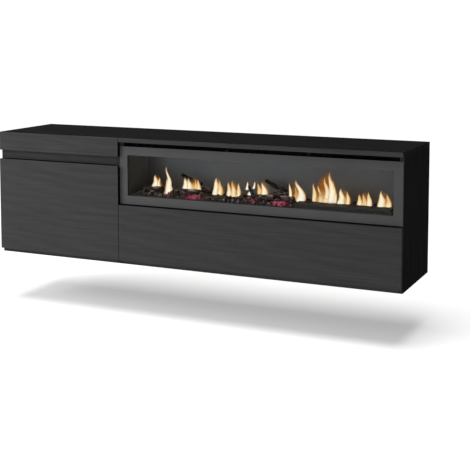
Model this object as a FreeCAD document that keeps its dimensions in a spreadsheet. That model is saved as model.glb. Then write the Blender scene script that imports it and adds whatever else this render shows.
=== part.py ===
import FreeCAD, Part
import math
import os
import types

import Sketcher

# A wall-hung cabinet with a built-in electric fireplace: a left column with a fascia, a finger channel and a
# side-hinged door, and a right column with a warm-air slot, the fireplace and a drop flap below it.
# +X runs to the right, +Y into the wall, +Z up. The origin lies on the wall, at the middle of the wall rail's
# line of screws.

SHEET_ROWS = [
    ("body_width", 1600, "cabinet, overall width"),
    ("body_height", 470, "cabinet, overall height"),
    ("carcass_depth", 333, "carcass, from the wall to the front edges of its panels"),
    ("board", 16, "thickness of every board"),
    ("top_level", 50, "top of the cabinet above the wall screws"),
    ("left_width", 530, "left module, outer width"),
    ("back_inset", 20, "space for the wall rail behind the inner panels"),
    ("back_sheet", 3, "thickness of the back panels"),
    ("sheet_play", 0.5, "play at the ends of a back panel"),
    ("front_gap", 1, "between the carcass and a moving front"),
    ("overshoot", 1, "cutting shapes reach this far past the surface they cut"),
    ("side_margin", 0.5, "front stops short of the cabinet's side"),
    ("column_gap", 2, "between the left and the right fronts"),
    ("fascia_height", 70, "left fascia"),
    ("channel_height", 34, "finger channel above the door"),
    ("reveal", 15, "bottom edge left uncovered by the fronts"),
    ("slot_height", 16, "warm-air slot under the top strip"),
    ("rail_gap", 1.5, "top rail ends above the door's top edge"),
    ("grip_depth", 9, "bevel on the back of the door's top edge, depth"),
    ("grip_height", 12, "the same bevel, height"),
    ("shelf_level", -172, "adjustable shelf, upper face"),
    ("shelf_play", 0.5, "adjustable shelf, play at each end"),
    ("shelf_setback", 30, "adjustable shelf, behind the carcass front"),
    ("shelf_back_gap", 1, "adjustable shelf, from the back panel"),
    ("pin_radius", 2.5, "shelf pin"),
    ("pin_depth", 8, "shelf pin, in the panel and out of it"),
    ("pin_near", 70, "front shelf pins, behind the carcass front"),
    ("pin_far", 70, "rear shelf pins, before the wall"),
    ("cam_radius", 7.5, "cam fitting"),
    ("cam_depth", 12.5, "cam fitting"),
    ("cam_edge", 24, "cam centre from the joined face"),
    ("cam_near", 43, "front cams, behind the carcass front"),
    ("cam_far", 100, "rear cams, before the wall"),
    ("cam_slot", 2, "width of the cross recess in a cam"),
    ("cam_recess", 2.5, "depth of the cross recess in a cam"),
    ("cam_reach", 5.25, "half length of the cross recess in a cam"),
    ("bolt_radius", 2.5, "bolt that joins the two modules"),
    ("bolt_cap_radius", 8, "its caps"),
    ("bolt_cap", 2, "its caps, thickness"),
    ("bolt_upper", -240, "upper bolts, level"),
    ("bolt_lower", -380, "lower bolts, level"),
    ("bolt_near", 43, "front bolts, behind the carcass front"),
    ("bolt_far", 60, "rear bolts, before the wall"),
    ("rail_length", 1500, "wall rail"),
    ("rail_sheet", 2, "wall rail, steel thickness"),
    ("rail_foot", 18, "wall rail, below the screw line"),
    ("rail_step", 12, "wall rail, height where it steps off the wall"),
    ("rail_offset", 8, "wall rail, front face of its lip from the wall"),
    ("rail_lip", 30, "wall rail, top of the lip"),
    ("rail_hole", 3.5, "wall rail, radius of the screw holes"),
    ("rail_outer", 1200, "spacing of the outer screw holes"),
    ("rail_inner", 400, "spacing of the inner screw holes"),
    ("hanger_width", 16, "hanger housing"),
    ("hanger_near", 68, "hanger housing, front face from the wall"),
    ("hanger_back", 24, "hanger housing, back face from the wall"),
    ("hanger_low", -20, "hanger housing, underside"),
    ("hanger_high", 32, "hanger housing, top"),
    ("hook_thick", 3, "hanger hook, plate"),
    ("hook_play", 0.3, "hanger hook, play in its housing"),
    ("hook_deep", 5, "hanger hook, height of its arm"),
    ("hook_reach", 2.5, "hanger hook, back of its tongue from the wall"),
    ("hook_tongue", 2.5, "hanger hook, thickness of its tongue"),
    ("hook_drop", 18, "hanger hook, level of the tongue's tip"),
    ("hook_slot", 10, "width of the slot in the back panel"),
    ("hook_slot_gap", 1, "slot in the back panel, below the hook's arm"),
    ("slot_bridge", 0.5, "back panel left above the slot"),
    ("cable_radius", 30, "cable hole in a back panel"),
    ("cable_rim", 4, "grommet, width of its rim"),
    ("cable_wall", 2, "grommet, wall thickness"),
    ("cable_left", -535, "left cable hole"),
    ("cable_right", 264, "right cable hole"),
    ("cable_level", -310, "both cable holes"),
    ("vent_width", 320, "air opening in the right back panel"),
    ("vent_low", -62, "air opening, lower edge"),
    ("vent_high", 8, "air opening, upper edge"),
    ("service_left", 600, "service opening, left edge"),
    ("service_right", 750, "service opening, right edge"),
    ("hinge_upper", -110, "upper cup hinge"),
    ("hinge_lower", -350, "lower cup hinge"),
    ("cup_centre", 20.5, "hinge cup, from the door's edge side of the cabinet"),
    ("cup_outer", 17.5, "hinge cup, outer radius"),
    ("cup_inner", 16, "hinge cup, inner radius"),
    ("cup_depth", 12.6, "hinge cup, depth in the door"),
    ("cup_floor", 0.6, "hinge cup, thickness of its floor"),
    ("ear_near", 16.5, "hinge cup's ears, edge next to the side panel"),
    ("ear_far", 26, "hinge cup's ears, other edge"),
    ("ear_reach", 26, "hinge cup's ears, half height"),
    ("ear_thick", 0.7, "hinge cup's ears"),
    ("cup_pin_u", 8, "cup pin, from the cabinet's side"),
    ("cup_pin_v", -6, "cup pin, behind the carcass front"),
    ("cup_pin_radius", 1, "cup pin"),
    ("cup_pin_reach", 10.5, "cup pin, half length"),
    ("arm_pin_u", 28, "arm pin, from the cabinet's side"),
    ("arm_pin_v", 8, "arm pin, behind the carcass front"),
    ("arm_pin_radius", 1.5, "arm pin"),
    ("pivot_play", 0.05, "running clearance of every pivot"),
    ("link_half", 4.5, "hinge link, half height"),
    ("cup_eye", 1.9, "hinge link, radius of the eye on the cup pin"),
    ("arm_eye", 3, "hinge link, radius of the eye on the arm pin"),
    ("arm_half", 7, "hinge arm, half height"),
    ("arm_slot_half", 4.8, "hinge arm, half height of the slot for the link"),
    ("arm_low_u", 22, "hinge arm, side next to the panel"),
    ("arm_high_u", 33, "hinge arm, far side"),
    ("arm_start_v", 4, "hinge arm, front end"),
    ("arm_slot_v", 16, "hinge arm, end of the slot for the link"),
    ("arm_end_v", 62, "hinge arm, rear end"),
    ("plate_start_v", 28, "hinge mounting plate, front end"),
    ("plate_half", 22, "hinge mounting plate, half height"),
    ("plate_thick", 2, "hinge mounting plate"),
    ("bumper_radius", 4, "bumper"),
    ("bumper_thick", 0.7, "bumper"),
    ("bumper_inset", 8, "bumper, from the front's edges"),
    ("leaf_length", 60, "flap hinge"),
    ("knuckle_length", 20, "flap hinge, the middle knuckle"),
    ("leaf_thick", 1.5, "flap hinge, leaves"),
    ("leaf_depth", 31, "flap hinge, leaves from the pin"),
    ("leaf_start", 2.5, "flap hinge, leaves start beside the knuckle"),
    ("web_lift", 1, "flap hinge, webs start above the axis"),
    ("knuckle_radius", 2.5, "flap hinge"),
    ("knuckle_play", 0.3, "flap hinge, between knuckles and round them"),
    ("flap_pin_radius", 1.2, "flap hinge"),
    ("flap_pin_gap", 0.5, "flap hinge axis, before the carcass front"),
    ("hinge_pitch", 440, "between the three flap hinges"),
    ("stay_pin_in", 51, "stay pin, inwards from the flap's axis"),
    ("stay_pin_up", 68, "stay pin, above the flap's axis"),
    ("stay_eye_in", 13, "stay's pivot on the flap, inwards from the axis"),
    ("stay_eye_up", 84, "stay's pivot on the flap, above the axis"),
    ("stay_side", 10, "stay bar, from the panel"),
    ("stay_thick", 2.5, "stay bar"),
    ("stay_half", 6, "stay bar, half width"),
    ("stay_pin_radius", 2.5, "both pins of a stay"),
    ("stay_slot_play", 0.1, "stay slot, radial play on its pin"),
    ("stay_end_play", 0.5, "stay slot, play past the pin at each end"),
    ("stay_end", 7, "stay bar, past its slot"),
    ("stay_head", 4.5, "stay pin, radius of head and shoulder"),
    ("stay_head_thick", 1.5, "stay pin, head"),
    ("side_play", 0.3, "between a stay bar and what is beside it"),
    ("bracket_thick", 2, "stay bracket on the flap"),
    ("bracket_half", 14, "stay bracket, half height of its foot"),
    ("bracket_ear", 8, "stay bracket, half height of its ear"),
    ("bracket_foot", 16, "stay bracket, width of its foot"),
    ("eye_pin_end", 1, "stay bracket, its pin past the bar"),
    ("latch_half", 10, "push latch, half width"),
    ("latch_height", 19, "push latch"),
    ("latch_length", 60, "push latch"),
    ("latch_setback", 3, "push latch, behind the carcass front"),
    ("plunger_radius", 4, "push latch's plunger"),
    ("plunger_length", 42, "push latch's plunger"),
    ("plunger_gap", 0.4, "plunger's tip from the flap"),
    ("plunger_bore", 50, "push latch, depth of its bore"),
    ("flange_width", 1067, "fireplace flange"),
    ("flange_height", 213, "fireplace flange"),
    ("flange_border", 31.5, "fireplace flange, round the window"),
    ("flange_sheet", 1.5, "fireplace flange, steel thickness"),
    ("flange_depth", 3.5, "fireplace flange, depth of its folded rim"),
    ("flap_gap", 3.5, "between the flange and the flap"),
    ("shelf_drop", 1, "fireplace shelf, upper face below the flange's foot"),
    ("gasket_width", 8, "glass gasket"),
    ("gasket_thick", 2.5, "glass gasket"),
    ("glass_lap", 5, "glass, beyond the window"),
    ("glass_thick", 4, "glass"),
    ("glass_front", 0.5, "glass, before the carcass front"),
    ("casing_gap", 8, "casing, from the side panels"),
    ("casing_depth", 260, "casing"),
    ("casing_setback", 1, "casing, behind the carcass front"),
    ("casing_sheet", 1.5, "casing, steel thickness"),
    ("casing_lift", 1, "casing, below the top panel"),
    ("louvre_count", 12, "air slots in the casing's back"),
    ("louvre_width", 16, "air slots, width"),
    ("louvre_pitch", 24, "air slots, pitch"),
    ("louvre_low", -58, "air slots, lower edge"),
    ("louvre_high", 2, "air slots, upper edge"),
    ("firebox_margin", 1.5, "firebox walls, outside the window"),
    ("firebox_sheet", 1.5, "firebox walls"),
    ("firebox_front", 5, "firebox walls, behind the carcass front"),
    ("firebox_depth", 150, "firebox"),
    ("screen_thick", 3, "flame screen"),
    ("bed_left", -226, "ember bed, left end"),
    ("bed_right", 402, "ember bed, right end"),
    ("ledge_front", -321, "ember bed, front edge of its low ledge"),
    ("ledge_height", 5, "ember bed, ledge"),
    ("ember_front", -300, "ember bed, front edge behind the ledge"),
    ("bed_front", -312, "burner block, front edge"),
    ("bed_back", -200, "ember bed and burner block, back edge"),
    ("bed_height", 10, "ember bed, without its embers"),
    ("bed_wall", 3, "ember bed, wall of the hollow shell"),
    ("ember_radius", 7, "ember"),
    ("ember_pitch", 16, "embers, pitch"),
    ("ember_start", 11.2, "first ember, from the bed's edges"),
    ("block_left", 405, "burner block, left end"),
    ("block_right", 752, "burner block, right end"),
    ("block_height", 16, "burner block"),
    ("board_thick", 1.6, "circuit boards"),
    ("led_size", 5, "light-emitting diode"),
    ("led_height", 1.8, "light-emitting diode"),
    ("ember_board_side", 6, "ember light board, inside the bed's ends"),
    ("ember_board_edge", 18, "ember light board, inside the bed's front and back"),
    ("led_pitch", 30, "light-emitting diodes, pitch"),
    ("flame_board_level", -190, "flame light board, underside"),
    ("flame_board_near", -160, "flame light board, front edge"),
    ("flame_board_far", -95, "flame light board, back edge"),
    ("flame_board_left", -190, "flame light board, left end"),
    ("flame_board_right", 720, "flame light board, right end"),
    ("foot_radius", 3, "feet of the flame light board"),
    ("rod_y", -125, "flicker rod, axis"),
    ("rod_z", -150, "flicker rod, axis"),
    ("rod_left", -212, "flicker rod, left end"),
    ("rod_right", 746, "flicker rod, right end"),
    ("rod_radius", 2.5, "flicker rod"),
    ("vane_count", 30, "reflecting vanes on the flicker rod"),
    ("vane_pitch", 30, "vanes, pitch"),
    ("vane_turn", 47, "vanes, turn from one to the next, in degrees"),
    ("vane_start", -182, "vanes, first one"),
    ("vane_width", 20, "vanes, along the rod"),
    ("vane_reach", 17, "vanes, from the axis"),
    ("vane_thick", 1, "vanes"),
    ("bracket_left", -208, "flicker rod, left bracket"),
    ("bracket_right", 734, "flicker rod, right bracket"),
    ("rod_bracket", 3, "flicker rod's brackets, thickness"),
    ("rod_bracket_half", 12, "flicker rod's brackets, half width"),
    ("rod_bracket_top", 10, "flicker rod's brackets, above the axis"),
    ("motor_radius", 20, "flicker motor"),
    ("motor_length", 18, "flicker motor"),
    ("motor_bore", 12, "flicker motor, depth of its shaft socket"),
    ("fan_y", -118, "blower, axis"),
    ("fan_z", -4, "blower, axis"),
    ("fan_length", 300, "blower impeller"),
    ("fan_radius", 24, "blower impeller"),
    ("fan_blades", 24, "blower impeller's blades"),
    ("blade_depth", 6, "blower impeller, blades"),
    ("blade_inset", 0.3, "blower impeller, blades inside the discs' rim"),
    ("blade_thick", 1, "blower impeller, blades"),
    ("disc_thick", 2, "blower impeller, end discs"),
    ("fan_shaft", 3, "blower impeller, shaft radius"),
    ("scroll_gap", 3, "scroll, round the impeller"),
    ("scroll_sheet", 1.2, "scroll, steel thickness"),
    ("scroll_front", -176, "scroll, front edge of its duct"),
    ("scroll_side", 3, "scroll, beyond the impeller at each end"),
    ("duct_low", -8, "scroll, lower face of its duct"),
    ("fan_motor_radius", 22, "blower motor"),
    ("fan_motor_length", 42, "blower motor"),
    ("fan_motor_gap", 6, "blower motor, from the impeller"),
    ("heater_near", -240, "heating element, front face"),
    ("heater_far", -222, "heating element, back face"),
    ("heater_low", -8, "heating element, underside"),
    ("heater_high", 29, "heating element, top"),
    ("bar_count", 3, "heating element, bars"),
    ("bar_inset", 3, "heating element, bars from its front and back face"),
    ("heater_bar", 7, "heating element, height of its bars"),
    ("heater_end", 6, "heating element, width of its end blocks"),
    ("fin_count", 46, "heating element, fins"),
    ("fin_thick", 1, "heating element, fins"),
    ("grille_setback", 20, "outlet grille, behind the carcass front"),
    ("grille_thick", 1.2, "outlet grille"),
    ("grille_start", 7.8, "outlet grille, first slot from the casing's end"),
    ("grille_rows", 3, "outlet grille, rows of slots"),
    ("grille_row_pitch", 6.4, "outlet grille, pitch of the rows"),
    ("grille_slots", 32, "outlet grille, slots in a row"),
    ("grille_pitch", 31, "outlet grille's slots, pitch"),
    ("grille_slot", 25, "outlet grille's slots, length"),
    ("grille_slot_height", 4, "outlet grille's slots, height"),
    ("control_left", 590, "control board, left end"),
    ("control_right", 690, "control board, right end"),
    ("control_near", -165, "control board, front edge"),
    ("control_far", -95, "control board, back edge"),
    ("control_level", -100, "control board, underside"),
    ("control_post", 12, "control board's posts, below it"),
    ("component_inset", 14, "components, behind the control board's front edge"),
    ("gland_x", 640, "power cord gland"),
    ("gland_z", -38, "power cord gland"),
    ("gland_outer", 9, "power cord gland, outer radius"),
    ("gland_rim", 12, "power cord gland, radius of its rim"),
    ("gland_bore", 4, "power cord gland, bore radius"),
    ("gland_length", 20, "power cord gland"),
    ("gland_rim_thick", 3, "power cord gland, rim"),
    ("rocker_x", 710, "mains switch, centre"),
    ("rocker_z", -38, "mains switch, centre"),
    ("switch_half", 9, "mains switch, half width of its body"),
    ("switch_tall", 13, "mains switch, half height of its body"),
    ("switch_depth", 22, "mains switch, body behind the casing"),
    ("bezel_extra", 1.5, "mains switch, bezel beyond the body"),
    ("bezel_thick", 2, "mains switch, bezel"),
    ("pocket_half", 6.9, "mains switch, half width of its pocket"),
    ("pocket_tall", 11.4, "mains switch, half height of its pocket"),
    ("pocket_depth", 14, "mains switch, depth of its pocket"),
    ("rocker_half", 6.6, "rocker, half width"),
    ("rocker_tall", 9.6, "rocker, half height"),
    ("rocker_front", 3, "rocker's face, above the bezel's face"),
    ("rocker_deep", 9, "rocker, overall depth"),
    ("rocker_axis", 5, "rocker's axis, below the bezel's face"),
    ("rocker_tilt", 8, "rocker, tilt when off, in degrees"),
    ("trunnion", 1.5, "rocker, radius of its trunnions"),
    ("trunnion_reach", 8.2, "rocker, half length across its trunnions"),
]

doc = FreeCAD.newDocument("ElectricFireplace")
nodes = []


class Size:
    """A length that knows both its number and the sheet expression that drives it."""

    def __init__(self, value, text):
        self.value = value
        self.text = text

    def __add__(self, other):
        other = as_size(other)
        return Size(self.value + other.value, f"({self.text} + {other.text})")

    def __radd__(self, other):
        return as_size(other) + self

    def __sub__(self, other):
        other = as_size(other)
        return Size(self.value - other.value, f"({self.text} - {other.text})")

    def __rsub__(self, other):
        return as_size(other) - self

    def __mul__(self, other):
        other = as_size(other)
        return Size(self.value * other.value, f"({self.text} * {other.text})")

    def __rmul__(self, other):
        return as_size(other) * self

    def __truediv__(self, other):
        other = as_size(other)
        return Size(self.value / other.value, f"({self.text} / {other.text})")

    def __neg__(self):
        return Size(-self.value, f"(0 - {self.text})")


def as_size(value):
    return value if isinstance(value, Size) else Size(value, str(value))


def make_sheet():
    """Fills the sheet with the driving dimensions and gives each one as a Size."""
    sheet = doc.addObject("Spreadsheet::Sheet", "Sizes")
    sizes = {}
    for row, (alias, value, meaning) in enumerate(SHEET_ROWS, start=1):
        sheet.set(f"A{row}", alias)
        sheet.set(f"B{row}", str(value))
        sheet.set(f"C{row}", meaning)
        sheet.setAlias(f"B{row}", alias)
        sizes[alias] = Size(value, f"Sizes.{alias}")
    doc.recompute()
    return types.SimpleNamespace(**sizes)


s = make_sheet()

# Levels and planes that many pieces share
left_end = -s.body_width / 2
right_end = s.body_width / 2
left_inside = left_end + s.board
right_inside = right_end - s.board
divide = left_end + s.left_width
left_divider = divide - s.board
right_divider = divide + s.board
top = s.top_level
under_top = top - s.board
bottom = top - s.body_height
floor = bottom + s.board
front = -s.carcass_depth
fronts_back = front - s.front_gap
fronts_face = fronts_back - s.board
inner_back = -s.back_inset
channel_top = top - s.fascia_height
door_top = channel_top - s.channel_height
fronts_foot = bottom + s.reveal
left_fronts_start = left_end + s.side_margin
left_fronts_end = divide - s.column_gap / 2
right_fronts_start = divide + s.column_gap / 2
right_fronts_end = right_end - s.side_margin
flange_top = under_top - s.slot_height
flange_foot = flange_top - s.flange_height
flange_end = right_fronts_start + s.flange_width
window_left = right_fronts_start + s.flange_border
window_right = flange_end - s.flange_border
window_top = flange_top - s.flange_border
window_foot = flange_foot + s.flange_border
flap_top = flange_foot - s.flap_gap
shelf_face = flange_foot - s.shelf_drop
casing_left = right_divider + s.casing_gap
casing_right = right_inside - s.casing_gap
casing_front = front + s.casing_setback
casing_back = casing_front + s.casing_depth
casing_top = under_top - s.casing_lift
firebox_left = window_left - s.firebox_margin
firebox_right = window_right + s.firebox_margin
firebox_top = window_top + s.firebox_margin
firebox_foot = window_foot - s.firebox_margin
firebox_face = front + s.firebox_front
firebox_back = firebox_face + s.firebox_depth
flap_axis_y = front - s.flap_pin_gap
flap_axis_z = fronts_foot
fan_middle = (right_fronts_start + flange_end) / 2


def bind(piece, prop, size):
    """Drives one property of a piece from the sheet."""
    piece.setExpression(prop, as_size(size).text)


def place(piece, spot):
    for axis, size in zip("xyz", spot):
        bind(piece, f"Placement.Base.{axis}", size)


def box(low, high):
    """A block between two corners."""
    piece = doc.addObject("Part::Box", "Block")
    for side, start, end in zip(("Length", "Width", "Height"), low, high):
        bind(piece, side, end - start)
    place(piece, low)
    return piece


AXIS_TURN = {
    "x": FreeCAD.Rotation(FreeCAD.Vector(0, 1, 0), 90),
    "y": FreeCAD.Rotation(FreeCAD.Vector(1, 0, 0), -90),
    "z": FreeCAD.Rotation(),
}


def rod(axis, radius, start, length):
    """A cylinder from a start point along +X, +Y or +Z."""
    piece = doc.addObject("Part::Cylinder", "Rod")
    piece.Placement = FreeCAD.Placement(FreeCAD.Vector(), AXIS_TURN[axis])
    bind(piece, "Radius", radius)
    bind(piece, "Height", length)
    place(piece, start)
    return piece


def ball(radius, centre):
    piece = doc.addObject("Part::Sphere", "Ball")
    bind(piece, "Radius", radius)
    place(piece, centre)
    return piece


def group(pieces):
    """Separate solids that share one node."""
    piece = doc.addObject("Part::Compound", "Group")
    piece.Links = pieces
    return piece


def fuse(pieces):
    piece = doc.addObject("Part::MultiFuse", "Fusion")
    piece.Shapes = pieces
    return piece


def cut(base, tools):
    """The base without its tools."""
    piece = doc.addObject("Part::Cut", "Cut")
    piece.Base = base
    piece.Tool = tools[0] if len(tools) == 1 else group(tools)
    return piece


def common(first, second):
    piece = doc.addObject("Part::Common", "Common")
    piece.Base = first
    piece.Tool = second
    return piece


def node(name, piece):
    """Names a finished sub-part; its label names its file."""
    piece.Label = name
    nodes.append(piece)
    return piece


def new_body():
    return doc.addObject("PartDesign::Body", "Body")


def sketch_in(body, role, offset):
    """A sketch on one of the body's own planes, moved along that plane's normal."""
    sketch = body.newObject("Sketcher::SketchObject", "Sketch")
    plane = next(feature for feature in body.Origin.OriginFeatures if feature.Role == role)
    sketch.AttachmentSupport = [(plane, "")]
    sketch.MapMode = "FlatFace"
    bind(sketch, "AttachmentOffset.Base.z", offset)
    return sketch


def hold(sketch, kind, spot, size):
    """Holds a point or a radius of the sketch at a driven distance."""
    number = sketch.addConstraint(Sketcher.Constraint(kind, *spot, as_size(size).value))
    bind(sketch, f"Constraints[{number}]", size)


def outline(sketch, corners):
    """A closed polygon whose corners are held from the origin."""
    first = sketch.GeometryCount
    spots = [FreeCAD.Vector(as_size(x).value, as_size(y).value, 0) for x, y in corners]
    for start, end in zip(spots, spots[1:] + spots[:1]):
        sketch.addGeometry(Part.LineSegment(start, end), False)
    for index in range(len(corners)):
        following = first + (index + 1) % len(corners)
        sketch.addConstraint(Sketcher.Constraint("Coincident", first + index, 2, following, 1))
    for index, (x, y) in enumerate(corners):
        hold(sketch, "DistanceX", (-1, 1, first + index, 1), x)
        hold(sketch, "DistanceY", (-1, 1, first + index, 1), y)


def rectangle(sketch, low, high):
    outline(sketch, [low, (high[0], low[1]), high, (low[0], high[1])])


def circle(sketch, x, y, radius):
    centre = FreeCAD.Vector(as_size(x).value, as_size(y).value, 0)
    shape = Part.Circle(centre, FreeCAD.Vector(0, 0, 1), as_size(radius).value)
    number = sketch.addGeometry(shape, False)
    hold(sketch, "DistanceX", (-1, 1, number, 3), x)
    hold(sketch, "DistanceY", (-1, 1, number, 3), y)
    hold(sketch, "Radius", (number,), radius)


def pad(body, sketch, length, both_ways=False):
    feature = body.newObject("PartDesign::Pad", "Pad")
    feature.Profile = sketch
    feature.Midplane = both_ways
    bind(feature, "Length", length)
    return feature


def pocket(body, sketch, depth, along_normal):
    """Cuts the sketch away, along its plane's normal or against it."""
    feature = body.newObject("PartDesign::Pocket", "Pocket")
    feature.Profile = sketch
    feature.Reversed = along_normal
    bind(feature, "Length", depth)
    return feature


# ---- Carcass ----

cam_rows = (front + s.cam_near, -s.cam_far)
cam_level = under_top - s.cam_edge
bolt_rows = (front + s.bolt_near, -s.bolt_far)
bolt_levels = (s.bolt_upper, s.bolt_lower)
pin_rows = (front + s.pin_near, -s.pin_far)
pin_level = s.shelf_level - s.board - s.pin_radius
upright_faces = ((left_inside, -1), (left_divider, 1), (right_divider, -1), (right_inside, 1))


def start_beyond(face, side, depth):
    """Where a rod of this depth starts if it goes from the face into the panel on that side."""
    return face - depth if side < 0 else face


def cam_blanks(face, side):
    x = start_beyond(face, side, s.cam_depth)
    return [rod("x", s.cam_radius, (x, y, cam_level), s.cam_depth) for y in cam_rows]


def pin_bores(face, side):
    x = start_beyond(face, side, s.pin_depth)
    return [rod("x", s.pin_radius, (x, y, pin_level), s.pin_depth) for y in pin_rows]


def bolt_bores(start):
    return [rod("x", s.bolt_radius, (start, y, z), s.board) for y in bolt_rows for z in bolt_levels]


def bottom_cams(start, end):
    spots = [(x, y) for x in (start + s.cam_edge, end - s.cam_edge) for y in cam_rows]
    return [rod("z", s.cam_radius, (x, y, bottom), s.cam_depth) for x, y in spots]


def make_panels():
    node("top_panel", box((left_end, front, under_top), (right_end, as_size(0), top)))
    side = box((left_end, front, bottom), (left_inside, as_size(0), under_top))
    node("left_side_panel", cut(side, cam_blanks(left_inside, -1) + pin_bores(left_inside, -1)))
    side = box((right_inside, front, bottom), (right_end, as_size(0), under_top))
    node("right_side_panel", cut(side, cam_blanks(right_inside, 1)))
    side = box((left_divider, front, bottom), (divide, inner_back, under_top))
    bores = cam_blanks(left_divider, 1) + pin_bores(left_divider, 1) + bolt_bores(left_divider)
    node("left_divider_panel", cut(side, bores))
    side = box((divide, front, bottom), (right_divider, inner_back, under_top))
    node("right_divider_panel", cut(side, cam_blanks(right_divider, -1) + bolt_bores(divide)))
    for name, start, end in (
        ("bottom_panel_left", left_inside, left_divider),
        ("bottom_panel_right", right_divider, right_inside),
    ):
        board = box((start, front, bottom), (end, inner_back, floor))
        if name == "bottom_panel_right":
            board = cut(board, knuckle_notches((front, flap_axis_z - s.knuckle_radius - s.knuckle_play)))
        node(name, cut(board, bottom_cams(start, end)))
    rail_low = (left_inside, front, door_top + s.rail_gap)
    node("top_rail_left", box(rail_low, (left_divider, front + s.board, under_top)))
    shelf_low = (right_divider, front, shelf_face - s.board)
    node("fireplace_shelf", box(shelf_low, (right_inside, inner_back, shelf_face)))


def make_trim():
    """The fixed fronts, screwed tight to the carcass."""
    fascia_low = (left_fronts_start, front - s.board, channel_top)
    node("left_fascia", box(fascia_low, (left_fronts_end, front, top)))
    strip_low = (right_fronts_start, front - s.board, under_top)
    node("right_top_strip", box(strip_low, (right_fronts_end, front, top)))


def make_shelf():
    low = (left_inside + s.shelf_play, front + s.shelf_setback, s.shelf_level - s.board)
    high = (left_divider - s.shelf_play, inner_back - s.shelf_back_gap, s.shelf_level)
    node("adjustable_shelf", box(low, high))
    reach = s.pin_depth * 2
    starts = (left_inside - s.pin_depth, left_divider - s.pin_depth)
    pins = [rod("x", s.pin_radius, (x, y, pin_level), reach) for x in starts for y in pin_rows]
    node("shelf_pins", group(pins))


def cross(x, y, z, along):
    """Two bars that cut a screwdriver recess into a cam's face; along says which way the cam points."""
    reach = s.cam_reach
    half = s.cam_slot / 2
    deep = s.cam_recess
    if along == "z":
        bars = (((x - reach, y - half, z), (x + reach, y + half, z + deep)),
                ((x - half, y - reach, z), (x + half, y + reach, z + deep)))
    else:
        bars = (((x, y - reach, z - half), (x + deep, y + reach, z + half)),
                ((x, y - half, z - reach), (x + deep, y + half, z + reach)))
    return [box(low, high) for low, high in bars]


def make_cams():
    cams = []
    for face, side in upright_faces:
        recess = face - s.cam_recess if side < 0 else face
        for blank, y in zip(cam_blanks(face, side), cam_rows):
            cams.append(cut(blank, cross(recess, y, cam_level, "x")))
    for start, end in ((left_inside, left_divider), (right_divider, right_inside)):
        spots = [(x, y) for x in (start + s.cam_edge, end - s.cam_edge) for y in cam_rows]
        for blank, (x, y) in zip(bottom_cams(start, end), spots):
            cams.append(cut(blank, cross(x, y, bottom, "z")))
    node("cam_fittings", group(cams))


def make_connector_bolts():
    bolts = []
    for y in bolt_rows:
        for z in bolt_levels:
            shank = rod("x", s.bolt_radius, (left_divider, y, z), s.board * 2)
            caps = [rod("x", s.bolt_cap_radius, (x, y, z), s.bolt_cap)
                    for x in (left_divider - s.bolt_cap, right_divider)]
            bolts.append(fuse([shank, *caps]))
    node("connector_bolts", group(bolts))


# ---- Hanging ----

hanger_starts = (left_inside, left_divider - s.hanger_width, right_divider, right_inside - s.hanger_width)


def make_wall_rail():
    """A Z-shaped steel strip: a web on the wall with the screw holes, and a lip that stands off it."""
    body = new_body()
    sketch = sketch_in(body, "YZ_Plane", as_size(0))
    lip_back = -s.rail_offset + s.rail_sheet
    step_low = s.rail_step - s.rail_sheet
    outline(sketch, [
        (0, -s.rail_foot), (0, s.rail_step), (lip_back, s.rail_step), (lip_back, s.rail_lip),
        (-s.rail_offset, s.rail_lip), (-s.rail_offset, step_low), (-s.rail_sheet, step_low),
        (-s.rail_sheet, -s.rail_foot),
    ])
    pad(body, sketch, s.rail_length, both_ways=True)
    holes = sketch_in(body, "XZ_Plane", as_size(0))
    for spacing in (s.rail_outer, s.rail_inner):
        for x in (-spacing / 2, spacing / 2):
            circle(holes, x, 0, s.rail_hole)
    pocket(body, holes, s.rail_sheet * 2, along_normal=True)
    node("wall_rail", body)


def hook_parts(start):
    """Arm and tongue of one hanger hook, in the middle of its housing."""
    low_x = start + (s.hanger_width - s.hook_thick) / 2
    high_x = low_x + s.hook_thick
    arm_low = s.rail_lip + s.hook_play
    back = -s.hook_reach
    arm = box((low_x, -s.hanger_near + s.hook_deep, arm_low - s.hook_deep), (high_x, -s.hanger_back, arm_low))
    neck = box((low_x, -s.hanger_back - s.hook_deep, arm_low), (high_x, back, arm_low + s.hook_tongue))
    tongue = box((low_x, back - s.hook_tongue, s.hook_drop), (high_x, back, arm_low))
    return [arm, neck, tongue]


def make_hangers():
    housings = []
    hooks = []
    for start in hanger_starts:
        high = (start + s.hanger_width, -s.hanger_back, s.hanger_high)
        shell = box((start, -s.hanger_near, s.hanger_low), high)
        half = s.hook_thick / 2 + s.hook_play
        middle = start + s.hanger_width / 2
        slot_near = s.hook_deep - s.hook_play - s.hanger_near
        slot_low = (middle - half, slot_near, s.rail_lip - s.hook_deep - s.hook_play)
        slot_high = (middle + half, s.overshoot - s.hanger_back, s.hanger_high + s.overshoot)
        slot = box(slot_low, slot_high)
        housings.append(cut(shell, [slot]))
        hooks.append(fuse(hook_parts(start)))
    node("hanger_housings", group(housings))
    node("hanger_hooks", group(hooks))


def make_back_panel(name, start, end, hangers, cable_x, openings):
    """A thin back with slots for its hanger hooks, a cable hole and any rectangular openings."""
    body = new_body()
    sketch = sketch_in(body, "XZ_Plane", -inner_back)
    rectangle(sketch, (start + s.sheet_play, bottom), (end - s.sheet_play, under_top))
    circle(sketch, cable_x, s.cable_level, s.cable_radius)
    for low, high in openings:
        rectangle(sketch, low, high)
    for hanger in hangers:
        middle = hanger + s.hanger_width / 2
        low = (middle - s.hook_slot / 2, s.rail_lip - s.hook_deep - s.hook_slot_gap)
        rectangle(sketch, low, (middle + s.hook_slot / 2, under_top - s.slot_bridge))
    feature = pad(body, sketch, s.back_sheet)
    feature.Reversed = True
    node(name, body)


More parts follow.
